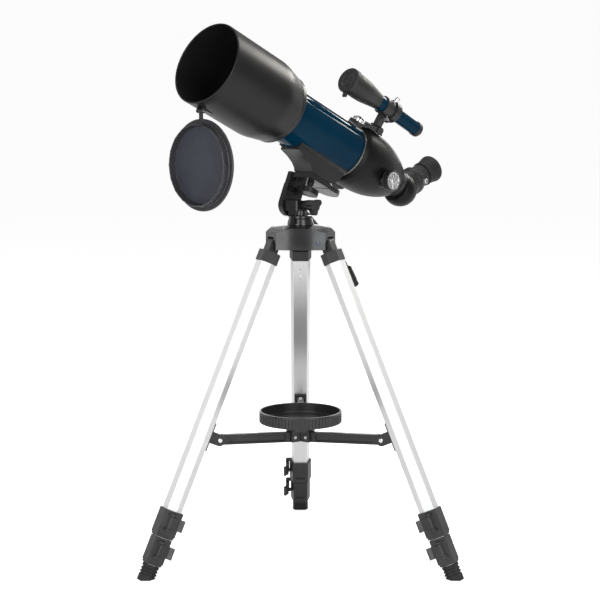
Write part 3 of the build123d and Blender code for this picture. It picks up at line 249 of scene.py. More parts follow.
def lacquer(name):
    """Deep blue lacquer with small mica flakes under a hard clear coat that has a slight orange peel."""
    finish = Finish(name, IOR=1.5, Specular_IOR_Level=0.0, Coat_Weight=1.0, Coat_Roughness=0.02, Coat_IOR=1.17)
    flakes = finish.cells(2800, 1)
    glint = finish.add("ShaderNodeSeparateColor", {}, [flakes]).rise(0.72, 0.98)
    deep = finish.blend(finish.noise(10, 3).rise(0.3, 0.7), (0.0005, 0.018, 0.04, 1), (0.0009, 0.024, 0.05, 1))
    finish.bump(finish.noise(420, 2), 0.02, 0.25)
    return finish.wear(Base_Color=finish.blend(glint * 0.4, deep, (0.002, 0.05, 0.095, 1)),
                       Roughness=0.4 + 0.12 * finish.noise(70, 3))


def anodised(name, matrix, dark, light, rough):
    """Anodised extrusion: drawing lines along the piece, soft clouds and a few handling rubs.
    The object coordinates are turned to the piece's X before they are stretched."""
    finish = Finish(name, Metallic=1.0)
    turned_back = Matrix((matrix[:3, :3] / MM).T.tolist()).to_euler()
    along = finish.add("ShaderNodeMapping", {"vector_type": "POINT"},
                       {"Vector": finish.place, "Rotation": tuple(turned_back)})
    stretched = finish.add("ShaderNodeMapping", {"vector_type": "POINT"}, {"Vector": along, "Scale": (0.02, 1, 1)})
    lines = finish.noise(3600, 3, stretched)
    broad = finish.noise(900, 2, stretched)
    rubs = finish.noise(26, 4).rise(0.55, 0.85)
    finish.bump(lines, 0.003, 0.3)
    shade = finish.blend(lines.rise(0.25, 0.75), dark, light)
    return finish.wear(Base_Color=finish.blend(rubs * 0.25, shade, dark),
                       Roughness=rough + 0.05 * broad + 0.05 * lines + 0.05 * rubs)


def plated(name, colour, rough, grain=0.0):
    """Polished or turned metal: faint wipe marks in the gloss and small colour clouds."""
    finish = Finish(name, Metallic=1.0)
    marks = finish.noise(160, 4)
    finish.bump(finish.noise(1800, 2), 0.01, 0.2 + grain)
    darker = tuple(channel * 0.8 for channel in colour[:3]) + (1.0,)
    return finish.wear(Base_Color=finish.blend(marks.rise(0.35, 0.75) * 0.5, colour, darker),
                       Roughness=rough + 0.12 * marks.rise(0.4, 0.8))


def rubber(name, dark, dusty):
    """Soft matt rubber: pores, and pale dust in patches."""
    finish = Finish(name, IOR=1.45, Specular_IOR_Level=0.35)
    dust = finish.noise(120, 5).rise(0.45, 0.8)
    pores = finish.cells(1900)
    finish.bump(pores + finish.noise(900, 3) * 0.6, 0.05, 0.6)
    return finish.wear(Base_Color=finish.blend(dust * 0.6, dark, dusty), Roughness=0.62 + 0.2 * dust)


def coated_glass(name, tint):
    """Optical glass with a dim coloured coating and a trace of haze."""
    finish = Finish(name, IOR=1.52, Transmission_Weight=0.85, Coat_Weight=0.6, Coat_Roughness=0.02)
    haze = finish.noise(70, 4)
    return finish.wear(Base_Color=finish.blend(haze.rise(0.3, 0.7), tint, grey(0.5, (0.7, 0.9, 0.85))),
                       Roughness=0.02 + 0.05 * haze.rise(0.45, 0.8))


NAVY = lacquer("navy_lacquer")
HOOD_BLACK = powder_coat("hood_powder_coat", grey(0.006), grey(0.01, (1, 1, 1.06)), 0.27, 0.36)
BELL_BLACK = powder_coat("housing_powder_coat", grey(0.004), grey(0.008, (1, 1, 1.05)), 0.3, 0.19)
CELL_BLACK = moulded("cell_black", grey(0.012), grey(0.02), 0.3, 1600, 0.02)
GLOSS = moulded("gloss_plastic", grey(0.009), grey(0.016, (1, 1, 1.08)), 0.19, 900, 0.012, 0.18)
SATIN = moulded("satin_plastic", grey(0.016), grey(0.026, (1, 1, 1.04)), 0.3, 1700, 0.03)
FINDER_BLACK = moulded("finder_plastic", grey(0.01, (1, 1.08, 1)), grey(0.017, (1, 1.07, 1)), 0.42, 1500, 0.004)
TRAY_BLACK = moulded("tray_plastic", grey(0.014), grey(0.024), 0.28, 1400, 0.03)
CAP_RIM = moulded("cap_rim_plastic", grey(0.026, (1, 1, 1.08)), grey(0.036, (1, 1, 1.1)), 0.3, 1500, 0.03)
CAP_BLUE = moulded("cap_disc_plastic", grey(0.03, (1, 1.08, 1.5)), grey(0.038, (1, 1.08, 1.48)), 0.42, 1300, 0.03)
TRIM = plated("trim_satin", grey(0.2, (1, 0.97, 0.92)), 0.36)
CHROME = plated("bright_plate", grey(0.82), 0.07)
PLATE = plated("knob_plate", grey(0.78), 0.3)
STEEL = plated("turned_steel", grey(0.6), 0.24, 0.2)
SHOE = plated("shoe_satin", grey(0.5, (1, 1, 0.98)), 0.36, 0.2)
BLACK_METAL = powder_coat("black_enamel", grey(0.013), grey(0.022), 0.24)
RUBBER = rubber("black_rubber", grey(0.016), grey(0.05))
GLASS = coated_glass("coated_glass", grey(0.35, (0.75, 1, 0.9)))
JEWEL = coated_glass("blue_jewel", (0.02, 0.14, 0.42, 1))
LEG_FINISH = {number: anodised(f"leg_{number}_anodised", LEGS[number], grey(0.8, (1, 1, 1.01)), grey(0.88), 0.33)
              for number in LEGS}
INNER_FINISH = {number: anodised(f"leg_{number}_inner_anodised", LEGS[number], grey(0.72), grey(0.8), 0.3)
                for number in LEGS}


# ---- making pieces ----
def keep(mesh, name, body, finishes, replaced=()):
    """Makes an object of a mesh, gives it its finishes and hangs it on its body."""
    piece = bpy.data.objects.new(name, mesh)
    bpy.context.scene.collection.objects.link(piece)
    for finish in finishes:
        mesh.materials.append(finish.material)
    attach(piece, body)
    if replaced:
        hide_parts(*replaced)
    return piece


def sewn(name, points, matrix, around=True, marks=None):
    """Mesh of a grid of points (rows, columns, 3): every row closes on itself, the rows close on each other
    if around is set, doubled points at poles are merged and the faces are turned outward."""
    rows, columns = points.shape[:2]
    placed = points.reshape(-1, 3) @ matrix[:3, :3].T + matrix[:3, 3]
    index = np.arange(rows * columns).reshape(rows, columns)
    if around:
        index = np.vstack([index, index[:1]])
    index = np.hstack([index, index[:, :1]])
    quads = np.stack([index[:-1, :-1], index[1:, :-1], index[1:, 1:], index[:-1, 1:]], axis=-1).reshape(-1, 4)
    mesh = bpy.data.meshes.new(name)
    mesh.from_pydata(placed.tolist(), [], quads.tolist())
    mesh.polygons.foreach_set("use_smooth", np.ones(len(quads), bool))
    if marks is not None:
        mesh.polygons.foreach_set("material_index", marks.ravel().astype(np.int32))
    shape = bmesh.new()
    shape.from_mesh(mesh)
    bmesh.ops.remove_doubles(shape, verts=shape.verts, dist=2e-7)
    bmesh.ops.delete(shape, geom=[edge for edge in shape.edges if not edge.link_faces], context="EDGES")
    bmesh.ops.recalc_face_normals(shape, faces=shape.faces)
    shape.to_mesh(mesh)
    shape.free()
    return mesh


def softened(profile, closed):
    """Profile rows (station, radius, corner, rib): each corner becomes the curve
    (1-t)^2 a + 2t(1-t) p + t^2 b between points one corner size away, with a guard point beyond each end."""
    rows = np.array([tuple(row) + (0.35, 0.0)[len(row) - 2:] for row in profile], float)
    before, after = np.roll(rows, 1, 0), np.roll(rows, -1, 0)
    back, ahead = (before - rows)[:, :2], (after - rows)[:, :2]
    back_length = np.maximum(np.linalg.norm(back, axis=1), 1e-6)
    ahead_length = np.maximum(np.linalg.norm(ahead, axis=1), 1e-6)
    cut = np.minimum(rows[:, 2], 0.3 * np.minimum(back_length, ahead_length)) * (rows[:, 1] > 1e-6)
    if not closed:
        cut[[0, -1]] = 0
    start = rows[:, :2] + back / back_length[:, None] * cut[:, None]
    end = rows[:, :2] + ahead / ahead_length[:, None] * cut[:, None]
    t = np.linspace(0, 1, 7)[None, :, None]
    curve = (1 - t) ** 2 * start[:, None] + 2 * t * (1 - t) * rows[:, None, :2] + t ** 2 * end[:, None]
    guard_back = start + back / back_length[:, None] * cut[:, None] * 0.5
    guard_ahead = end + ahead / ahead_length[:, None] * cut[:, None] * 0.5
    line = np.concatenate([guard_back[:, None], curve, guard_ahead[:, None]], axis=1).reshape(-1, 2)
    ribs = np.repeat(rows[:, 3], 9)
    if not closed:
        line, ribs = line[4:-4], ribs[4:-4]
    return line, ribs


def wave(angles, count):
    """Square-topped waves round a circle: 0 on a rib's top and 1 in the groove."""
    return np.clip(0.5 - 1.6 * np.cos(angles * count), 0, 1)


def lathe(name, matrix, profile, closed=True, segments=192, ribs=0, pattern=wave):
    """Surface of revolution about X: point = (station, r cos a, r sin a), r = radius - rib * pattern(a)."""
    line, depth = softened(profile, closed)
    count = max(segments, ribs * 8)
    angles = np.arange(count) * 2 * np.pi / count
    radius = line[:, 1:2] - (depth[:, None] * pattern(angles, ribs)[None] if ribs else 0)
    radius = np.broadcast_to(radius, (len(line), count))
    points = np.stack([np.broadcast_to(line[:, :1], radius.shape), radius * np.cos(angles), radius * np.sin(angles)], -1)
    return sewn(name, points, matrix, closed)


def faced(name, matrix, radius, relief, rest, finish_edge=None, rings=70, segments=360):
    """Round solid whose front face is a height field: station = relief(r, a) on polar rings out to the radius,
    followed by the rest of its profile back to the axis. Faces deeper than finish_edge take the second finish."""
    reach = np.linspace(0, 1, rings) ** 0.8 * radius
    angles = np.arange(segments) * 2 * np.pi / segments
    across, around = np.meshgrid(reach, angles, indexing="ij")
    station = relief(across, around)
    front = np.stack([station, across * np.cos(around), across * np.sin(around)], -1)
    line, _ = softened(rest, False)
    ring = np.ones((len(line), segments))
    back = np.stack([ring * line[:, :1], line[:, 1:] * np.cos(angles), line[:, 1:] * np.sin(angles)], -1)
    marks = None
    if finish_edge is not None:
        marks = np.zeros((len(reach) + len(line) - 1, segments))
        marks[:rings - 1] = (station[:-1] + station[1:]) / 2 > finish_edge
    return sewn(name, np.concatenate([front, back]), matrix, False, marks)


def carried(name, matrix, outline, low, high, corner=0.6):
    """Solid of an outline in the XZ plane carried along Y from low to high; its corners are rounded first."""
    rows = [(x, z + 1000, corner) for x, z in outline]      # lifted so that no corner counts as an axis point
    line, _ = softened(rows, True)
    line = line[np.linalg.norm(line - np.roll(line, 1, 0), axis=1) > 1e-4] - (0, 1000)
    count = len(line)
    placed = np.concatenate([np.insert(line, 1, y, axis=1) for y in (low, high)])
    placed = placed @ matrix[:3, :3].T + matrix[:3, 3]
    near = np.arange(count)
    sides = np.stack([near, np.roll(near, -1), np.roll(near, -1) + count, near + count], -1)
    mesh = bpy.data.meshes.new(name)
    mesh.from_pydata(placed.tolist(), [], sides.tolist() + [near[::-1].tolist(), (near + count).tolist()])
    shape = bmesh.new()
    shape.from_mesh(mesh)
    bmesh.ops.recalc_face_normals(shape, faces=shape.faces)
    shape.to_mesh(mesh)
    shape.free()
    return mesh


def eased(piece, width, angle=32.0):
    """Rounds a piece's edges with a small bevel, and shades it smooth with the flats kept flat."""
    piece.data.polygons.foreach_set("use_smooth", np.ones(len(piece.data.polygons), bool))
    piece.data.set_sharp_from_angle(angle=math.radians(angle))
    bevel = piece.modifiers.new("edge", "BEVEL")
    bevel.width, bevel.segments, bevel.limit_method = width * MM, 3, "ANGLE"
    bevel.angle_limit, bevel.harden_normals = math.radians(angle), True
    bevel.use_clamp_overlap = True
    return piece


def from_cad(node, finishes, width=0.35, split=None, angle=32.0):
    """Merged copy of a CAD node with eased edges. split gives each face its finish from its middle."""
    source = frame["nodes"][node]
    mesh = source.data.copy()
    mesh.name = node + "_finished"
    mesh.materials.clear()
    shape = bmesh.new()
    shape.from_mesh(mesh)
    bmesh.ops.remove_doubles(shape, verts=shape.verts, dist=2e-6)
    bmesh.ops.dissolve_limit(shape, angle_limit=math.radians(0.6), verts=shape.verts, edges=shape.edges)
    shape.to_mesh(mesh)
    shape.free()
    if mesh.has_custom_normals:
        mesh.attributes.remove(mesh.attributes["custom_normal"])
    if split:
        middles = np.zeros(len(mesh.polygons) * 3)
        mesh.polygons.foreach_get("center", middles)
        mesh.polygons.foreach_set("material_index", split(middles.reshape(-1, 3)).astype(np.int32))
    piece = keep(mesh, mesh.name, source["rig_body"], finishes, [node])
    return eased(piece, width, angle)


def down_the_leg(number, station):
    """Picks the faces further down a leg than a station."""
    inverse = np.linalg.inv(LEGS[number])
    return lambda middles: (middles @ inverse[:3, :3].T + inverse[:3, 3])[:, 0] > station


def cross_screw(name, matrix, radius, body):
    """Pan-head screw: a domed face with a cross recess, its head standing on the local X = 0 plane."""
    def relief(r, a):
        dome = -radius * 0.42 * (1 - (r / radius) ** 2 * 0.55)
        slot_width, slot_reach = radius * 0.17, radius * 0.62
        y, z = r * np.cos(a), r * np.sin(a)
        arms = ((np.abs(y) < slot_width) & (np.abs(z) < slot_reach)) | ((np.abs(z) < slot_width) & (np.abs(y) < slot_reach))
        return dome + arms * radius * 0.3
    mesh = faced(name, matrix, radius, relief, [(-radius * 0.19, radius), (0.0, radius), (0.3, 0)], None, 26, 72)
    return keep(mesh, name, body, [CHROME])


# ---- hood, lens cell and tube ----
def hood():
    """Dew hood with a thin turned-over rim, a soft shoulder and a taper to the lens cell."""
    wall = SHIELD_RADIUS - SHIELD_WALL
    end = SHIELD_LENGTH + TAPER_LENGTH
    throat = CELL_RADIUS - 1.2
    outline = [(0, wall + 0.3, 0.3), (0, SHIELD_RADIUS - 0.3, 0.5), (0.8, SHIELD_RADIUS, 0.5),
               (SHIELD_LENGTH, SHIELD_RADIUS, 7.0), (end - 3, CELL_RADIUS + 1.4, 2.5), (end, CELL_RADIUS + 0.6, 0.7),
               (end, throat), (end - 14, throat, 2.0), (SHIELD_LENGTH - 4, wall, 6.0), (1.2, wall, 0.5)]
    keep(lathe("dew_hood", TUBE, outline, segments=256), "dew_hood", "tube_assembly", [HOOD_BLACK],
         ["dew_shield"])
    pin = -SHIELD_RADIUS - HINGE_GAP
    for number, side in enumerate((1, -1), 1):
        name = f"hood_hinge_ear_{number}"
        low, high = sorted((side * 3.5, side * 5.6))
        ear = [(HINGE_STATION - 2.6, -SHIELD_RADIUS + 1), (HINGE_STATION + 2.6, -SHIELD_RADIUS + 1),
               (HINGE_STATION + 2.6, pin - 2.2), (HINGE_STATION - 2.6, pin - 2.2)]
        eased(keep(carried(name, TUBE, ear, low, high, 2.2), name, "tube_assembly", [SATIN]), 0.3)
    ramp = [(HINGE_STATION + 2, -SHIELD_RADIUS + 1), (HINGE_STATION + 17, -SHIELD_RADIUS + 1),
            (HINGE_STATION + 17, -SHIELD_RADIUS - 0.4), (HINGE_STATION + 2, -SHIELD_RADIUS - 1.6)]
    eased(keep(carried("hood_hinge_foot", TUBE, ramp, -3.4, 3.4, 0.5), "hood_hinge_foot", "tube_assembly",
               [SATIN]), 0.3)
    pin_frame = TUBE @ shift(HINGE_STATION, -5.9, pin) @ turn("Z", 90)
    keep(lathe("hood_hinge_pin", pin_frame, [(0, 0), (0, 1.3), (11.8, 1.3), (11.8, 0)], False, 32), "hood_hinge_pin",
         "tube_assembly", [STEEL])


def cell():
    """Lens cell: the ring behind the hood, the spigot inside it and the threaded ring that holds the glass."""
    front, seat = CELL_FRONT - 22, CELL_FRONT + 2.5
    outline = [(front, LENS_RADIUS), (front, CELL_RADIUS - 1.25), (CELL_FRONT, CELL_RADIUS - 1.25),
               (CELL_FRONT, CELL_RADIUS - 0.9), (CELL_FRONT + 1, CELL_RADIUS), (CELL_REAR - 1, CELL_RADIUS, 0.8),
               (CELL_REAR, CELL_RADIUS - 1), (CELL_REAR, TUBE_RADIUS), (seat, TUBE_RADIUS), (seat, TUBE_RADIUS - 2),
               (seat - 3, TUBE_RADIUS - 2), (front + 13, LENS_RADIUS - 2), (front + 13, LENS_RADIUS)]
    keep(lathe("objective_cell", TUBE, outline), "objective_cell", "tube_assembly", [CELL_BLACK],
         ["lens_cell"])
    retainer = [(front - 1.6, LENS_RADIUS - 1.2, 0.5), (front - 1.6, CELL_RADIUS - 1.3), (front, CELL_RADIUS - 1.3),
                (front + 3.0, LENS_RADIUS - 0.2), (front + 3.0, LENS_RADIUS - 2.4, 0.4)]
    keep(lathe("objective_retainer", TUBE, retainer), "objective_retainer", "tube_assembly", [CELL_BLACK])
    from_cad("objective", [GLASS], 0.15)


def tube():
    """Blue lacquered tube and the thin metal ring before the focuser housing."""
    inside = TUBE_RADIUS - TUBE_WALL
    outline = [(CELL_FRONT + 2.5, inside), (CELL_FRONT + 2.5, TUBE_RADIUS), (BELL_FRONT + 12, TUBE_RADIUS),
               (BELL_FRONT + 12, inside)]
    keep(lathe("optical_tube", TUBE, outline, segments=256), "optical_tube", "tube_assembly", [NAVY],
         ["main_tube"])
    ring = [(BELL_FRONT, TUBE_RADIUS), (BELL_FRONT, TUBE_RADIUS + 2.2, 0.8),
            (BELL_FRONT + TRIM_WIDTH, TUBE_RADIUS + 2.2, 0.8), (BELL_FRONT + TRIM_WIDTH, TUBE_RADIUS)]
    keep(lathe("tube_trim", TUBE, ring), "tube_trim", "tube_assembly", [TRIM], ["trim_ring"])


# ---- focuser, diagonal and eyepiece ----
BELL_SHARES = np.array([(0, 0.9), (0.04, 0.955), (0.115, 0.99), (0.26, 1.0), (0.405, 0.985), (0.549, 0.945),
                        (0.694, 0.862), (0.839, 0.735), (0.955, 0.595), (1.0, 0.53)])


def hermite(points, count):
    """Smooth line through points: cubic pieces whose slopes are the chords of the neighbours."""
    slopes = np.gradient(points[:, 1], points[:, 0])
    x = np.linspace(points[0, 0], points[-1, 0], count)
    piece = np.clip(np.searchsorted(points[:, 0], x) - 1, 0, len(points) - 2)
    width = points[piece + 1, 0] - points[piece, 0]
    t = (x - points[piece, 0]) / width
    y = ((1 + 2 * t) * (1 - t) ** 2 * points[piece, 1] + t * (1 - t) ** 2 * width * slopes[piece]
         + t * t * (3 - 2 * t) * points[piece + 1, 1] + t * t * (t - 1) * width * slopes[piece + 1])
    return np.stack([x, y], -1)


def bell():
    """Bell-shaped housing behind the tube, with the two bearings of the focus shaft."""
    start = BELL_FRONT + TRIM_WIDTH
    curve = hermite(BELL_SHARES, 90) * (BELL_REAR - start, BELL_RADIUS) + (start, 0)
    outline = [(start, TUBE_RADIUS + 0.1), (*curve[0], 0.4)]
    outline += [(x, r, 0) for x, r in curve[1:-1]] + [(*curve[-1], 0.4)]
    outline += [(BELL_REAR, RACK_CLEARANCE + 2.0, 0.5), (BELL_REAR - 1.2, RACK_CLEARANCE + 1.2, 0.4),
                (BELL_REAR - 1.2, RACK_CLEARANCE), (BELL_REAR - 40, RACK_CLEARANCE), (BELL_REAR - 40, 24),
                (start + 14, TUBE_RADIUS + 0.1)]
    keep(lathe("focuser_bell", TUBE, outline, segments=256), "focuser_bell", "tube_assembly",
         [BELL_BLACK], ["focuser_body"])
    boss = [(24, 0), (24, 9.4), (34.5, 9.0, 1.5), (37.2, 7.6, 1.2), (BOSS_REACH, 7.4, 0.5), (BOSS_REACH, 2.1), (30, 2.1), (30, 0)]
    for number, side in enumerate((1, -1), 1):
        name = f"focus_bearing_{number}"
        keep(lathe(name, KNOBS[side], boss, False, 96), name, "tube_assembly", [BELL_BLACK])


def knob_face(radius, face):
    """Relief of a knob's metal face: five C-shaped windows in a ring, a raised boss and a turned-up edge."""
    def relief(r, a):
        step = 2 * np.pi / 5
        lean = np.abs((a + np.pi / 2) % step - step / 2)
        arc = (1 / (1 + np.exp(-(r - 0.44 * radius) * 8))) * (1 / (1 + np.exp((r - 0.84 * radius) * 8)))
        sides = 1 / (1 + np.exp((lean - 0.42) * 40))
        tooth = (1 / (1 + np.exp((lean - 0.14) * 40))) * (1 / (1 + np.exp((r - 0.66 * radius) * 8)))
        boss = 0.7 / (1 + np.exp((r - 0.3 * radius) * 6))
        return face + 1.5 * arc * sides * (1 - tooth) - boss - 0.25 * (r / radius) ** 8
    return relief


def focus_wheels():
    """Two ribbed black wheels, each with a bright face let into its end."""
    inner, outer = BOSS_REACH + 0.3, BOSS_REACH + 0.3 + KNOB_THICKNESS
    rim = [(inner, 2.2), (inner, KNOB_RADIUS - 2.2, 0.8), (inner + 1.4, KNOB_RADIUS - 0.4, 0.8),
           (inner + 2.2, KNOB_RADIUS, 0.3, 0.7), (outer - 1.2, KNOB_RADIUS, 0.3, 0.7), (outer - 0.5, KNOB_RADIUS - 0.2, 0.4),
           (outer, KNOB_RADIUS - 1.2, 0.4), (outer - 0.9, KNOB_RADIUS - 1.7, 0.3), (outer - 2.2, KNOB_RADIUS - 1.8), (outer - 2.2, 2.2)]
    for number, side in enumerate((1, -1), 1):
        wheel, plate = f"focus_wheel_{number}", f"focus_wheel_face_{number}"
        replaced = ["focus_knobs"] if side == 1 else []
        keep(lathe(wheel, KNOBS[side], rim, True, 320, 40), wheel, "focus_shaft", [GLOSS], replaced)
        outward = KNOBS[side] @ shift(outer, 0, 0) @ turn("Z", 180)
        radius = KNOB_RADIUS - 1.9
        mesh = faced(plate, outward, radius, knob_face(radius, 0.9), [(0.75, radius, 0.2), (2.1, radius), (2.1, 0)], 1.6)
        keep(mesh, plate, "focus_shaft", [PLATE, GLOSS])
    from_cad("pinion", [STEEL], 0.1)


def star_diagonal():
    """Round prism housing with its nose ring, the eyepiece holder and two clamping screws."""
    from_cad("drawtube", [CHROME, SATIN], 0.25, lambda middles: (
        (middles - TUBE[:3, 3]) @ (TUBE[:3, 0] / MM) > (BELL_REAR + 0.2) * MM))
    face = SOCKET_REAR + 0.4 - BELL_REAR - BALL_SETBACK
    sweep = np.linspace(math.acos(face / BALL_RADIUS), 0, 60)
    outline = [(face, 0), (face, BALL_RADIUS * math.sin(sweep[0]) - 0.8, 0.4)]
    outline += [(BALL_RADIUS * math.cos(angle), BALL_RADIUS * math.sin(angle), 0) for angle in sweep[:-1]]
    outline += [(BALL_RADIUS, 0)]
    keep(lathe("diagonal_housing", BALL, outline, False), "diagonal_housing", "diagonal_body",
         [BELL_BLACK], ["diagonal"])
    collar = [(0.4, 0), (0.4, 19.2, 0.5), (5.4, 19.6, 1.2), (6.2, 18.2, 0.5), (6.2, 0)]
    keep(lathe("diagonal_collar", TUBE @ shift(SOCKET_REAR, 0, 0), collar, False), "diagonal_collar", "diagonal_body",
         [SATIN])
    inside = BARREL_RADIUS + 0.05
    holder = [(10.6, inside), (10.6, 17.9), (23.8, 17.9, 0.4), (24.6, 19.2, 0.5), (30.4, 19.2, 0.7), (31, 18.4, 0.4), (31, inside)]
    keep(lathe("eyepiece_holder", EYE, holder), "eyepiece_holder", "diagonal_body", [SATIN])
    screw = [(0, 0), (0, 1.4), (2.4, 1.4), (2.4, 3.3, 0.5, 0.3), (7.2, 3.3, 0.6, 0.3), (7.9, 2.6, 0.5), (7.9, 0)]
    side_screw = EYE @ shift(27.5, -18.9, 0) @ turn("Z", -90)
    keep(lathe("holder_screw", side_screw, screw, False, 96, 20), "holder_screw", "diagonal_body", [CHROME])
    top_screw = TUBE @ shift(SOCKET_REAR - 4.6, 0, 18.6) @ turn("Y", -90)
    keep(lathe("socket_screw", top_screw, screw, False, 96, 20), "socket_screw", "drawtube_body", [CHROME])
    from_cad("prism", [GLASS], 0.3)


def eyepiece():
    """Eyepiece with a ribbed grip, its lenses and a flared rubber cup."""
    barrel = [(16, 13.6), (16, BARREL_RADIUS - 0.05), (31.3, BARREL_RADIUS - 0.05), (31.3, 17.2, 0.6), (34.2, 17.2, 0.7),
              (35.0, 15.7, 0.4), (35.8, 15.6, 0.3, 0.55), (48.2, 15.6, 0.3, 0.55), (49.0, 14.9, 0.3), (49.4, 14.6, 0.3),
              (57, 14.6), (57, 9.5), (46, 12.5)]
    keep(lathe("eyepiece_barrel", EYE, barrel, True, 300, 30), "eyepiece_barrel", "eyepiece_body", [SATIN],
         ["eyepiece"])
    cup = [(49.8, 14.65), (49.8, 16.6, 0.7), (51.2, 17.0, 0.5), (52.6, 16.4, 0.5), (57, 16.6, 2.0), (63, 17.4, 3.0),
           (70.2, 19.0, 0.9), (72, 18.8, 0.8), (72, 17.6, 0.7), (68, 15.8, 2.0), (62, 13.6, 2.0), (58.6, 12), (57.2, 12), (57.2, 14.65)]
    keep(lathe("rubber_eyecup", EYE, cup), "rubber_eyecup", "eyepiece_body", [RUBBER], ["eyecup"])
    from_cad("eyepiece_lenses", [GLASS], 0.1)


# ---- finder ----
def finder_cap_relief(r, a):
    """Relief of the finder cap: a ring and a cross cut 0.5 mm deep."""
    y, z = np.abs(r * np.cos(a)), np.abs(r * np.sin(a))
    band = 1 / (1 + np.exp((np.abs(r - 9.1) - 0.55) * 14))
    cross = np.maximum(1 / (1 + np.exp((y - 0.55) * 14)), 1 / (1 + np.exp((z - 0.55) * 14))) * (r < 9.1)
    return 0.55 * np.maximum(band, cross) + 0.2 * (r / 16.0) ** 6


def finder():
    """Finder: housing, lacquered tube, eye ring with its lens, bracket, shoe and screws, and the push-on cap."""
    front, rear, end = 9.5, 62.0, 154.5
    housing = [(front - 4, 14.2), (front - 4, 15.35), (front, 15.35), (front, 15.8, 0.4), (front + 13, 15.8, 5.0),
               (front + 27, 14.9, 6.0), (front + 42, 12.3, 5.0), (rear - 2, 10.95, 0.8), (rear, 10.8), (rear, 10.35),
               (rear - 8, 10.35), (front + 22, 13.6)]
    keep(lathe("finder_housing", FINDER, housing), "finder_housing", "tube_assembly", [FINDER_BLACK],
         ["finder_body"])
    ring = [(end - 8, 9.25), (end - 8, 10.0, 0.4), (end - 1.2, 10.0, 0.6), (end, 9.0, 0.4), (end, 6.5), (end - 2, 5.5), (end - 2, 9.25)]
    keep(lathe("finder_eye_ring", FINDER, ring), "finder_eye_ring", "tube_assembly", [FINDER_BLACK])
    step = 99.5 - 3
    barrel = [(rear - 8, 9.1), (rear - 8, 10.3), (step, 10.3, 0.3), (step, 9.2, 0.3), (end - 2.2, 9.2), (end - 2.2, 8.0), (step - 2, 8.0), (step - 2, 9.1)]
    keep(lathe("finder_barrel", FINDER, barrel), "finder_barrel", "tube_assembly", [NAVY], ["finder_tube"])
    glass = [(end - 3.4, 0), (end - 3.4, 7.0), (end - 2.2, 7.0), (end - 1.7, 4.0, 1.0), (end - 1.5, 0)]
    keep(lathe("finder_eye_lens", FINDER, glass, False), "finder_eye_lens", "tube_assembly", [GLASS])
    rest = [(0.25, 16.3, 0.3), (1.3, 17.0, 0.6), (9.2, 17.0, 0.4), (9.2, 15.5), (2.4, 15.5), (2.4, 0)]
    keep(faced("finder_lens_cap", FINDER, 16.0, finder_cap_relief, rest), "finder_lens_cap", "finder_cap_body",
         [FINDER_BLACK], ["finder_cap"])
    tab = FINDER @ turn("X", -FINDER_ROLL)
    for number, offset in enumerate((-1.6, 1.6), 1):
        name = f"finder_cap_tab_{number}"
        lobe = [(1.2, -16.6), (4.6, -16.6), (4.6, -22.6), (1.2, -22.6)]
        mesh = carried(name, tab, lobe, offset - 1.5, offset + 1.5, 1.5)
        eased(keep(mesh, name, "finder_cap_body", [FINDER_BLACK]), 0.7)
    from_cad("finder_bracket", [SATIN], 0.4)
    from_cad("finder_shoe", [SHOE], 0.25)
    from_cad("finder_screws", [CHROME], 0.18)


# ---- dust cap ----
def crush_ribs(angles, count):
    """Narrow raised ribs: 1 between them and 0 on their tops."""
    return 1 - np.clip(1.6 * np.cos(angles * count) - 0.6, 0, 1) ** 1.5


def dust_cap():
    """Dust cap hanging by its strap: flange, plug ring with crush ribs, inner wall and a paler middle disc."""
    plug = SHIELD_RADIUS - SHIELD_WALL - 0.4
    shell = [(-0.4, 0), (-0.4, plug - 2.9, 0.3), (-0.8, plug - 2.3, 0.4, 0.4), (-CAP_PLUG, plug - 1.9, 0.4, 0.4), (-CAP_PLUG, plug - 0.7, 0.5, 0.45), (-CAP_PLUG + 1, plug, 0.4, 0.45),
             (-0.6, plug, 0.5, 0.45), (0, plug + 0.5, 0.3), (0, CAP_RADIUS - 0.6, 0.6), (0.8, CAP_RADIUS, 0.6), (2.4, CAP_RADIUS, 0.6),
             (3, CAP_RADIUS - 0.8, 0.4), (3, CAP_RADIUS - 6, 0.6), (2, CAP_RADIUS - 7, 0.6), (2, 0)]
    keep(lathe("cap_shell", CAP, shell, False, 432, 18, crush_ribs), "cap_shell", "dust_cap_body", [CAP_RIM],
         ["dust_cap"])
    reach = plug - 3.4
    disc = [(-0.5, reach + 0.4, 0.2), (0.2, reach + 0.4), (0.2, 0)]
    mesh = faced("cap_disc", CAP, reach, lambda r, a: -0.8 + 0.0 * a - 0.35 * np.exp(-((r - reach + 1.0) / 0.5) ** 2), disc,
                 None, 90, 192)
    keep(mesh, "cap_disc", "dust_cap_body", [CAP_BLUE])
    strap = [(-0.2, CAP_RADIUS - 3), (1.6, CAP_RADIUS - 3), (1.4, CAP_DROP - 2.0), (-0.2, CAP_DROP - 2.0)]
    eased(keep(carried("cap_strap", CAP, strap, -3.0, 3.0, 0.3), "cap_strap", "dust_cap_body", [CAP_RIM]), 0.3)
    eye_frame = CAP @ shift(0, -3.0, CAP_DROP) @ turn("Z", 90)
    eye = [(0, 1.4), (0, 2.6, 0.4), (6, 2.6, 0.4), (6, 1.4)]
    keep(lathe("cap_eye", eye_frame, eye, True, 48), "cap_eye", "dust_cap_body", [CAP_RIM])


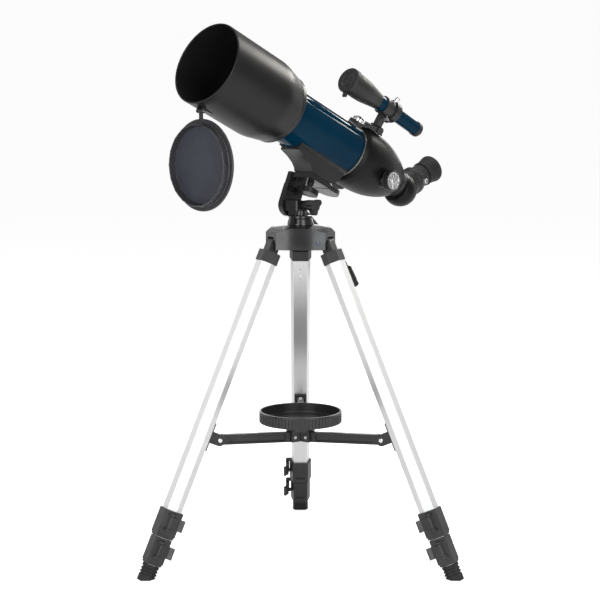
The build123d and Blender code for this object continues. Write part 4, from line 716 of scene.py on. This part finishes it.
# ---- tripod ----
def crown():
    """Crown with its neck, hinge pins and a small blue stud in the front panel."""
    from_cad("hub", [GLOSS], 0.8)
    outline = [(-NECK_HEIGHT, 0), (-NECK_HEIGHT, NECK_RADIUS), (-10.4, NECK_RADIUS, 0.8), (-4.2, NECK_TOP_RADIUS, 0.5),
               (-3.8, NECK_TOP_RADIUS - 0.9, 0.2), (-3.0, NECK_TOP_RADIUS - 0.9, 0.2), (-2.6, NECK_TOP_RADIUS, 0.3),
               (0, NECK_TOP_RADIUS, 0.7), (0, 5), (8, 5), (8, 0)]
    keep(lathe("turned_neck", COLUMN, outline, False), "turned_neck", "tripod_crown", [GLOSS], ["neck"])
    panel_radius, panel_middle, stud_side, stud_height = 126.3, 89.3, 22.0, 410.7
    lean = math.asin(stud_side / panel_radius)
    centre = (stud_side, panel_middle - panel_radius * math.cos(lean), stud_height)
    origin = np.array((JOINTS["pan"]["pos_m"][0], JOINTS["pan"]["pos_m"][1], 0)) + np.array(centre) * MM
    stud_frame = place(origin, (math.sin(lean), -math.cos(lean), 0), (math.cos(lean), math.sin(lean), 0))
    stud = [(-0.6, 0), (-0.6, 2.7), (0.4, 2.7, 0.5), (1.1, 1.9, 0.8), (1.4, 0)]
    keep(lathe("crown_stud", stud_frame, stud, False, 64), "crown_stud", "tripod_crown", [JEWEL])
    from_cad("leg_pins", [STEEL], 0.2)


def tray():
    """Accessory tray: ribbed wall, smooth rim, a boss below and a low button inside."""
    low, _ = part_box("tray")
    base = low.z / MM
    floor, rim = base + 6.5, base + 6.5 + TRAY_DEPTH
    outline = [(base, 0), (base, 9, 0.5), (floor, 9, 1.0), (floor, TRAY_RADIUS - 1.2, 0.8), (floor + 1.0, TRAY_RADIUS, 0.3, 0.9),
               (rim - 3.0, TRAY_RADIUS, 0.2, 0.9), (rim - 2.6, TRAY_RADIUS, 0.3), (rim, TRAY_RADIUS, 0.6), (rim, TRAY_RADIUS - 2.6, 0.6),
               (floor + 2.2, TRAY_RADIUS - 2.9, 1.6), (floor + 2.2, 11, 0.5), (floor + 4.5, 11, 0.8), (floor + 4.5, 0)]
    keep(lathe("accessory_tray", FLOOR_COLUMN, outline, False, 576, TRAY_RIBS), "accessory_tray", "spreader_body",
         [TRAY_BLACK], ["tray"])
    from_cad("spreader", [SATIN], 0.4)
    from_cad("spreader_pins", [STEEL], 0.2)


def leg(number):
    """One leg: fittings, three tube sections, locks, levers, foot, strut and screws."""
    own = f"leg_{number}_"
    from_cad(own + "fittings", [SATIN], 0.45)
    from_cad(own + "upper_tube", [LEG_FINISH[number]], 0.35)
    from_cad(own + "upper_lock", [SATIN], 0.5)
    from_cad(own + "upper_lever", [SATIN], 0.4)
    from_cad(own + "lower_lever", [SATIN], 0.4)
    foot = math.hypot(221.0 - 39.4, 409.7) - FOOT_LENGTH
    from_cad(own + "middle", [INNER_FINISH[number], SATIN], 0.45,
             down_the_leg(number, foot - LOCK_LENGTH - 0.7))
    from_cad(own + "lower", [INNER_FINISH[number], RUBBER], 0.35, down_the_leg(number, foot - 0.1))
    from_cad(f"strut_{number}", [SATIN], 0.35)
    for index, (station, depth, radius) in enumerate(((38, LEG_INNER_DEPTH, 3.0), (52, LEG_INNER_DEPTH, 3.0),
                                                      (CLIP_STATION - 12.5, LEG_INNER_DEPTH + 2.2, 2.3)), 1):
        name = f"leg_{number}_screw_{index}"
        cross_screw(name, leg_face_frame(number, station, depth), radius, f"leg_{number}_body")
    pivot = leg_face_frame(number, CLIP_STATION, CLIP_REACH)
    for index, side in enumerate((1, -1), 1):
        seat = pivot @ turn("Z", 90 * side) @ shift(-CLIP_EAR, 0, 0)
        cross_screw(f"strut_{number}_screw_{index}", seat, 2.7, f"leg_{number}_body")


def leg_face_frame(number, station, depth):
    """Frame on a leg's inner face: -X stands out of the face towards the tripod's axis."""
    matrix = LEGS[number]
    down, tangent = matrix[:3, 0] / MM, matrix[:3, 1] / MM
    outward = np.cross(tangent, down)
    flip = 1.0 if outward[0] * (matrix[0, 3] - COLUMN[0, 3]) + outward[1] * (matrix[1, 3] - COLUMN[1, 3]) > 0 else -1.0
    outward = outward * flip
    origin = matrix[:3, 3] + (down * station - outward * depth) * MM
    return place(origin, outward, tangent)


# ---- head ----
def grip():
    """Ribbed grip on the end of the pan handle, its rings worked as a profile."""
    start, end = np.array((110.0, 25.0, -82.6)), np.array((129.0, 25.0, -111.5))
    way = (end - start) / np.linalg.norm(end - start)
    head = place(JOINTS["tilt"]["pos_m"], HEADING, SIDE)
    origin = (head @ np.append(start + (end - start) * 0.25, 1))[:3]
    axis = head[:3, :3] @ way / MM
    across = np.cross(axis, SIDE)
    across = across / np.linalg.norm(across)
    length = np.linalg.norm(end - start) * 0.75 + 4
    rings = [(2.2 + step * 2.4 + part * 1.2, 6.3 - part * 0.8, 0.35) for step in range(int((length - 6) / 2.4)) for part in (0, 1)]
    outline = [(0, 0), (0, 5.0, 0.5), (1.2, 6.2, 0.5)] + rings + [(length - 1.2, 6.2, 0.6), (length, 5.0, 0.6), (length, 0)]
    keep(lathe("pan_grip", place(origin, axis, across), outline, False, 96), "pan_grip", "pan_head", [RUBBER],
         ["handle_grip"])


def head():
    """Pan block, bolt, knob, handle, tilting bracket, pad, photo screw and saddle."""
    from_cad("pan_block", [GLOSS], 0.5)
    from_cad("tilt_bolt", [STEEL], 0.3)
    from_cad("tilt_knob", [SATIN], 0.7)
    from_cad("handle_rod", [BLACK_METAL], 0.2)
    from_cad("platform", [GLOSS], 0.6)
    from_cad("platform_pad", [RUBBER], 0.15)
    from_cad("mount_screw", [BLACK_METAL], 0.25)
    from_cad("saddle", [SATIN], 0.6)
    grip()


# ---- floor, light and camera ----
SURROUND, BACKDROP = 0.3, 0.97             # brightness of the surroundings on the object, and behind it
FLOOR_GLOW = BACKDROP - 0.94 * SURROUND     # lifts the far floor to the backdrop, so that no horizon shows


def stage():
    """Wide pale floor with a faint mottling."""
    mesh = bpy.data.meshes.new("floor")
    reach = 40.0
    mesh.from_pydata([(-reach, -reach, 0), (reach, -reach, 0), (reach, reach, 0), (-reach, reach, 0)], [], [(0, 1, 2, 3)])
    floor = bpy.data.objects.new("floor", mesh)
    bpy.context.scene.collection.objects.link(floor)
    finish = Finish("pale_floor", Roughness=0.8, Specular_IOR_Level=0.0, Emission_Strength=FLOOR_GLOW)
    finish.wear(Emission_Color=finish.add("ShaderNodeLightPath", {}, {}))
    finish.wear(Base_Color=finish.blend(finish.noise(3, 2), grey(0.93), grey(0.95)))
    mesh.materials.append(finish.material)


def softbox(name, location, target, size, radiance, tint=(1, 1, 1)):
    """Rectangular lamp of a given brightness: power = brightness x pi x area."""
    lamp = bpy.data.lights.new(name, "AREA")
    lamp.shape, lamp.size, lamp.size_y = "RECTANGLE", size[0], size[1]
    lamp.energy, lamp.color = radiance * math.pi * size[0] * size[1], tint
    holder = bpy.data.objects.new(name, lamp)
    bpy.context.scene.collection.objects.link(holder)
    way = np.array(target) - np.array(location)
    holder.rotation_euler = Vector(way).to_track_quat("-Z", "Y").to_euler()
    holder.location, holder.visible_camera = location, False


def lights():
    """White surroundings, a broad lamp overhead and tall lamps at both sides of the camera."""
    world = bpy.data.worlds.new("studio")
    bpy.context.scene.world = world
    world.use_nodes = True
    tree = world.node_tree
    path = tree.nodes.new("ShaderNodeLightPath")
    strength = tree.nodes.new("ShaderNodeMapRange")
    strength.inputs["To Min"].default_value, strength.inputs["To Max"].default_value = SURROUND, BACKDROP
    tree.links.new(path.outputs["Is Camera Ray"], strength.inputs["Value"])
    background = tree.nodes["Background"]
    background.inputs["Color"].default_value = (1, 1, 1, 1)
    tree.links.new(strength.outputs["Result"], background.inputs["Strength"])
    middle = (0.0, 0.0, 0.4)
    softbox("overhead", (0.1, -0.1, 2.3), middle, (1.3, 1.0), 4.5)
    softbox("front_left", (-1.0, -2.05, 0.75), middle, (1.0, 2.0), 4.0)
    softbox("front_right", (1.0, -2.05, 0.75), middle, (1.0, 2.0), 3.8, (0.95, 0.97, 1))
    softbox("back_left", (-1.7, 1.1, 0.8), middle, (1.0, 1.4), 0.9)
    softbox("back_right", (1.7, 1.1, 0.6), middle, (1.0, 1.0), 0.7)
    softbox("streak_right", (1.5, 1.45, 1.55), (0.0, 0.0, 0.6), (1.0, 0.3), 16.0, (1, 0.96, 0.9))
    softbox("behind", (0.3, 2.4, 0.75), (0.0, 0.0, 0.55), (2.2, 0.6), 3.0)


def camera():
    """Long lens in front of the tripod, a little above the middle and looking slightly down."""
    data = bpy.data.cameras.new("camera")
    data.lens, data.sensor_width = 86.42, 36.0
    holder = bpy.data.objects.new("camera", data)
    bpy.context.scene.collection.objects.link(holder)
    axis_x, axis_y = JOINTS["pan"]["pos_m"][:2]
    holder.location = (axis_x - 0.00061, axis_y - 1.84184, 0.55421)
    holder.rotation_euler = (math.radians(90 - 6.803), 0, 0)
    data.clip_start, data.clip_end = 0.05, 200.0
    bpy.context.scene.camera = holder


camera()
stage()
lights()
bpy.context.scene.view_settings.view_transform = "Standard"
hood()
cell()
tube()
bell()
focus_wheels()
star_diagonal()
eyepiece()
finder()
dust_cap()
crown()
tray()
head()
for leg_number in LEGS:
    leg(leg_number)
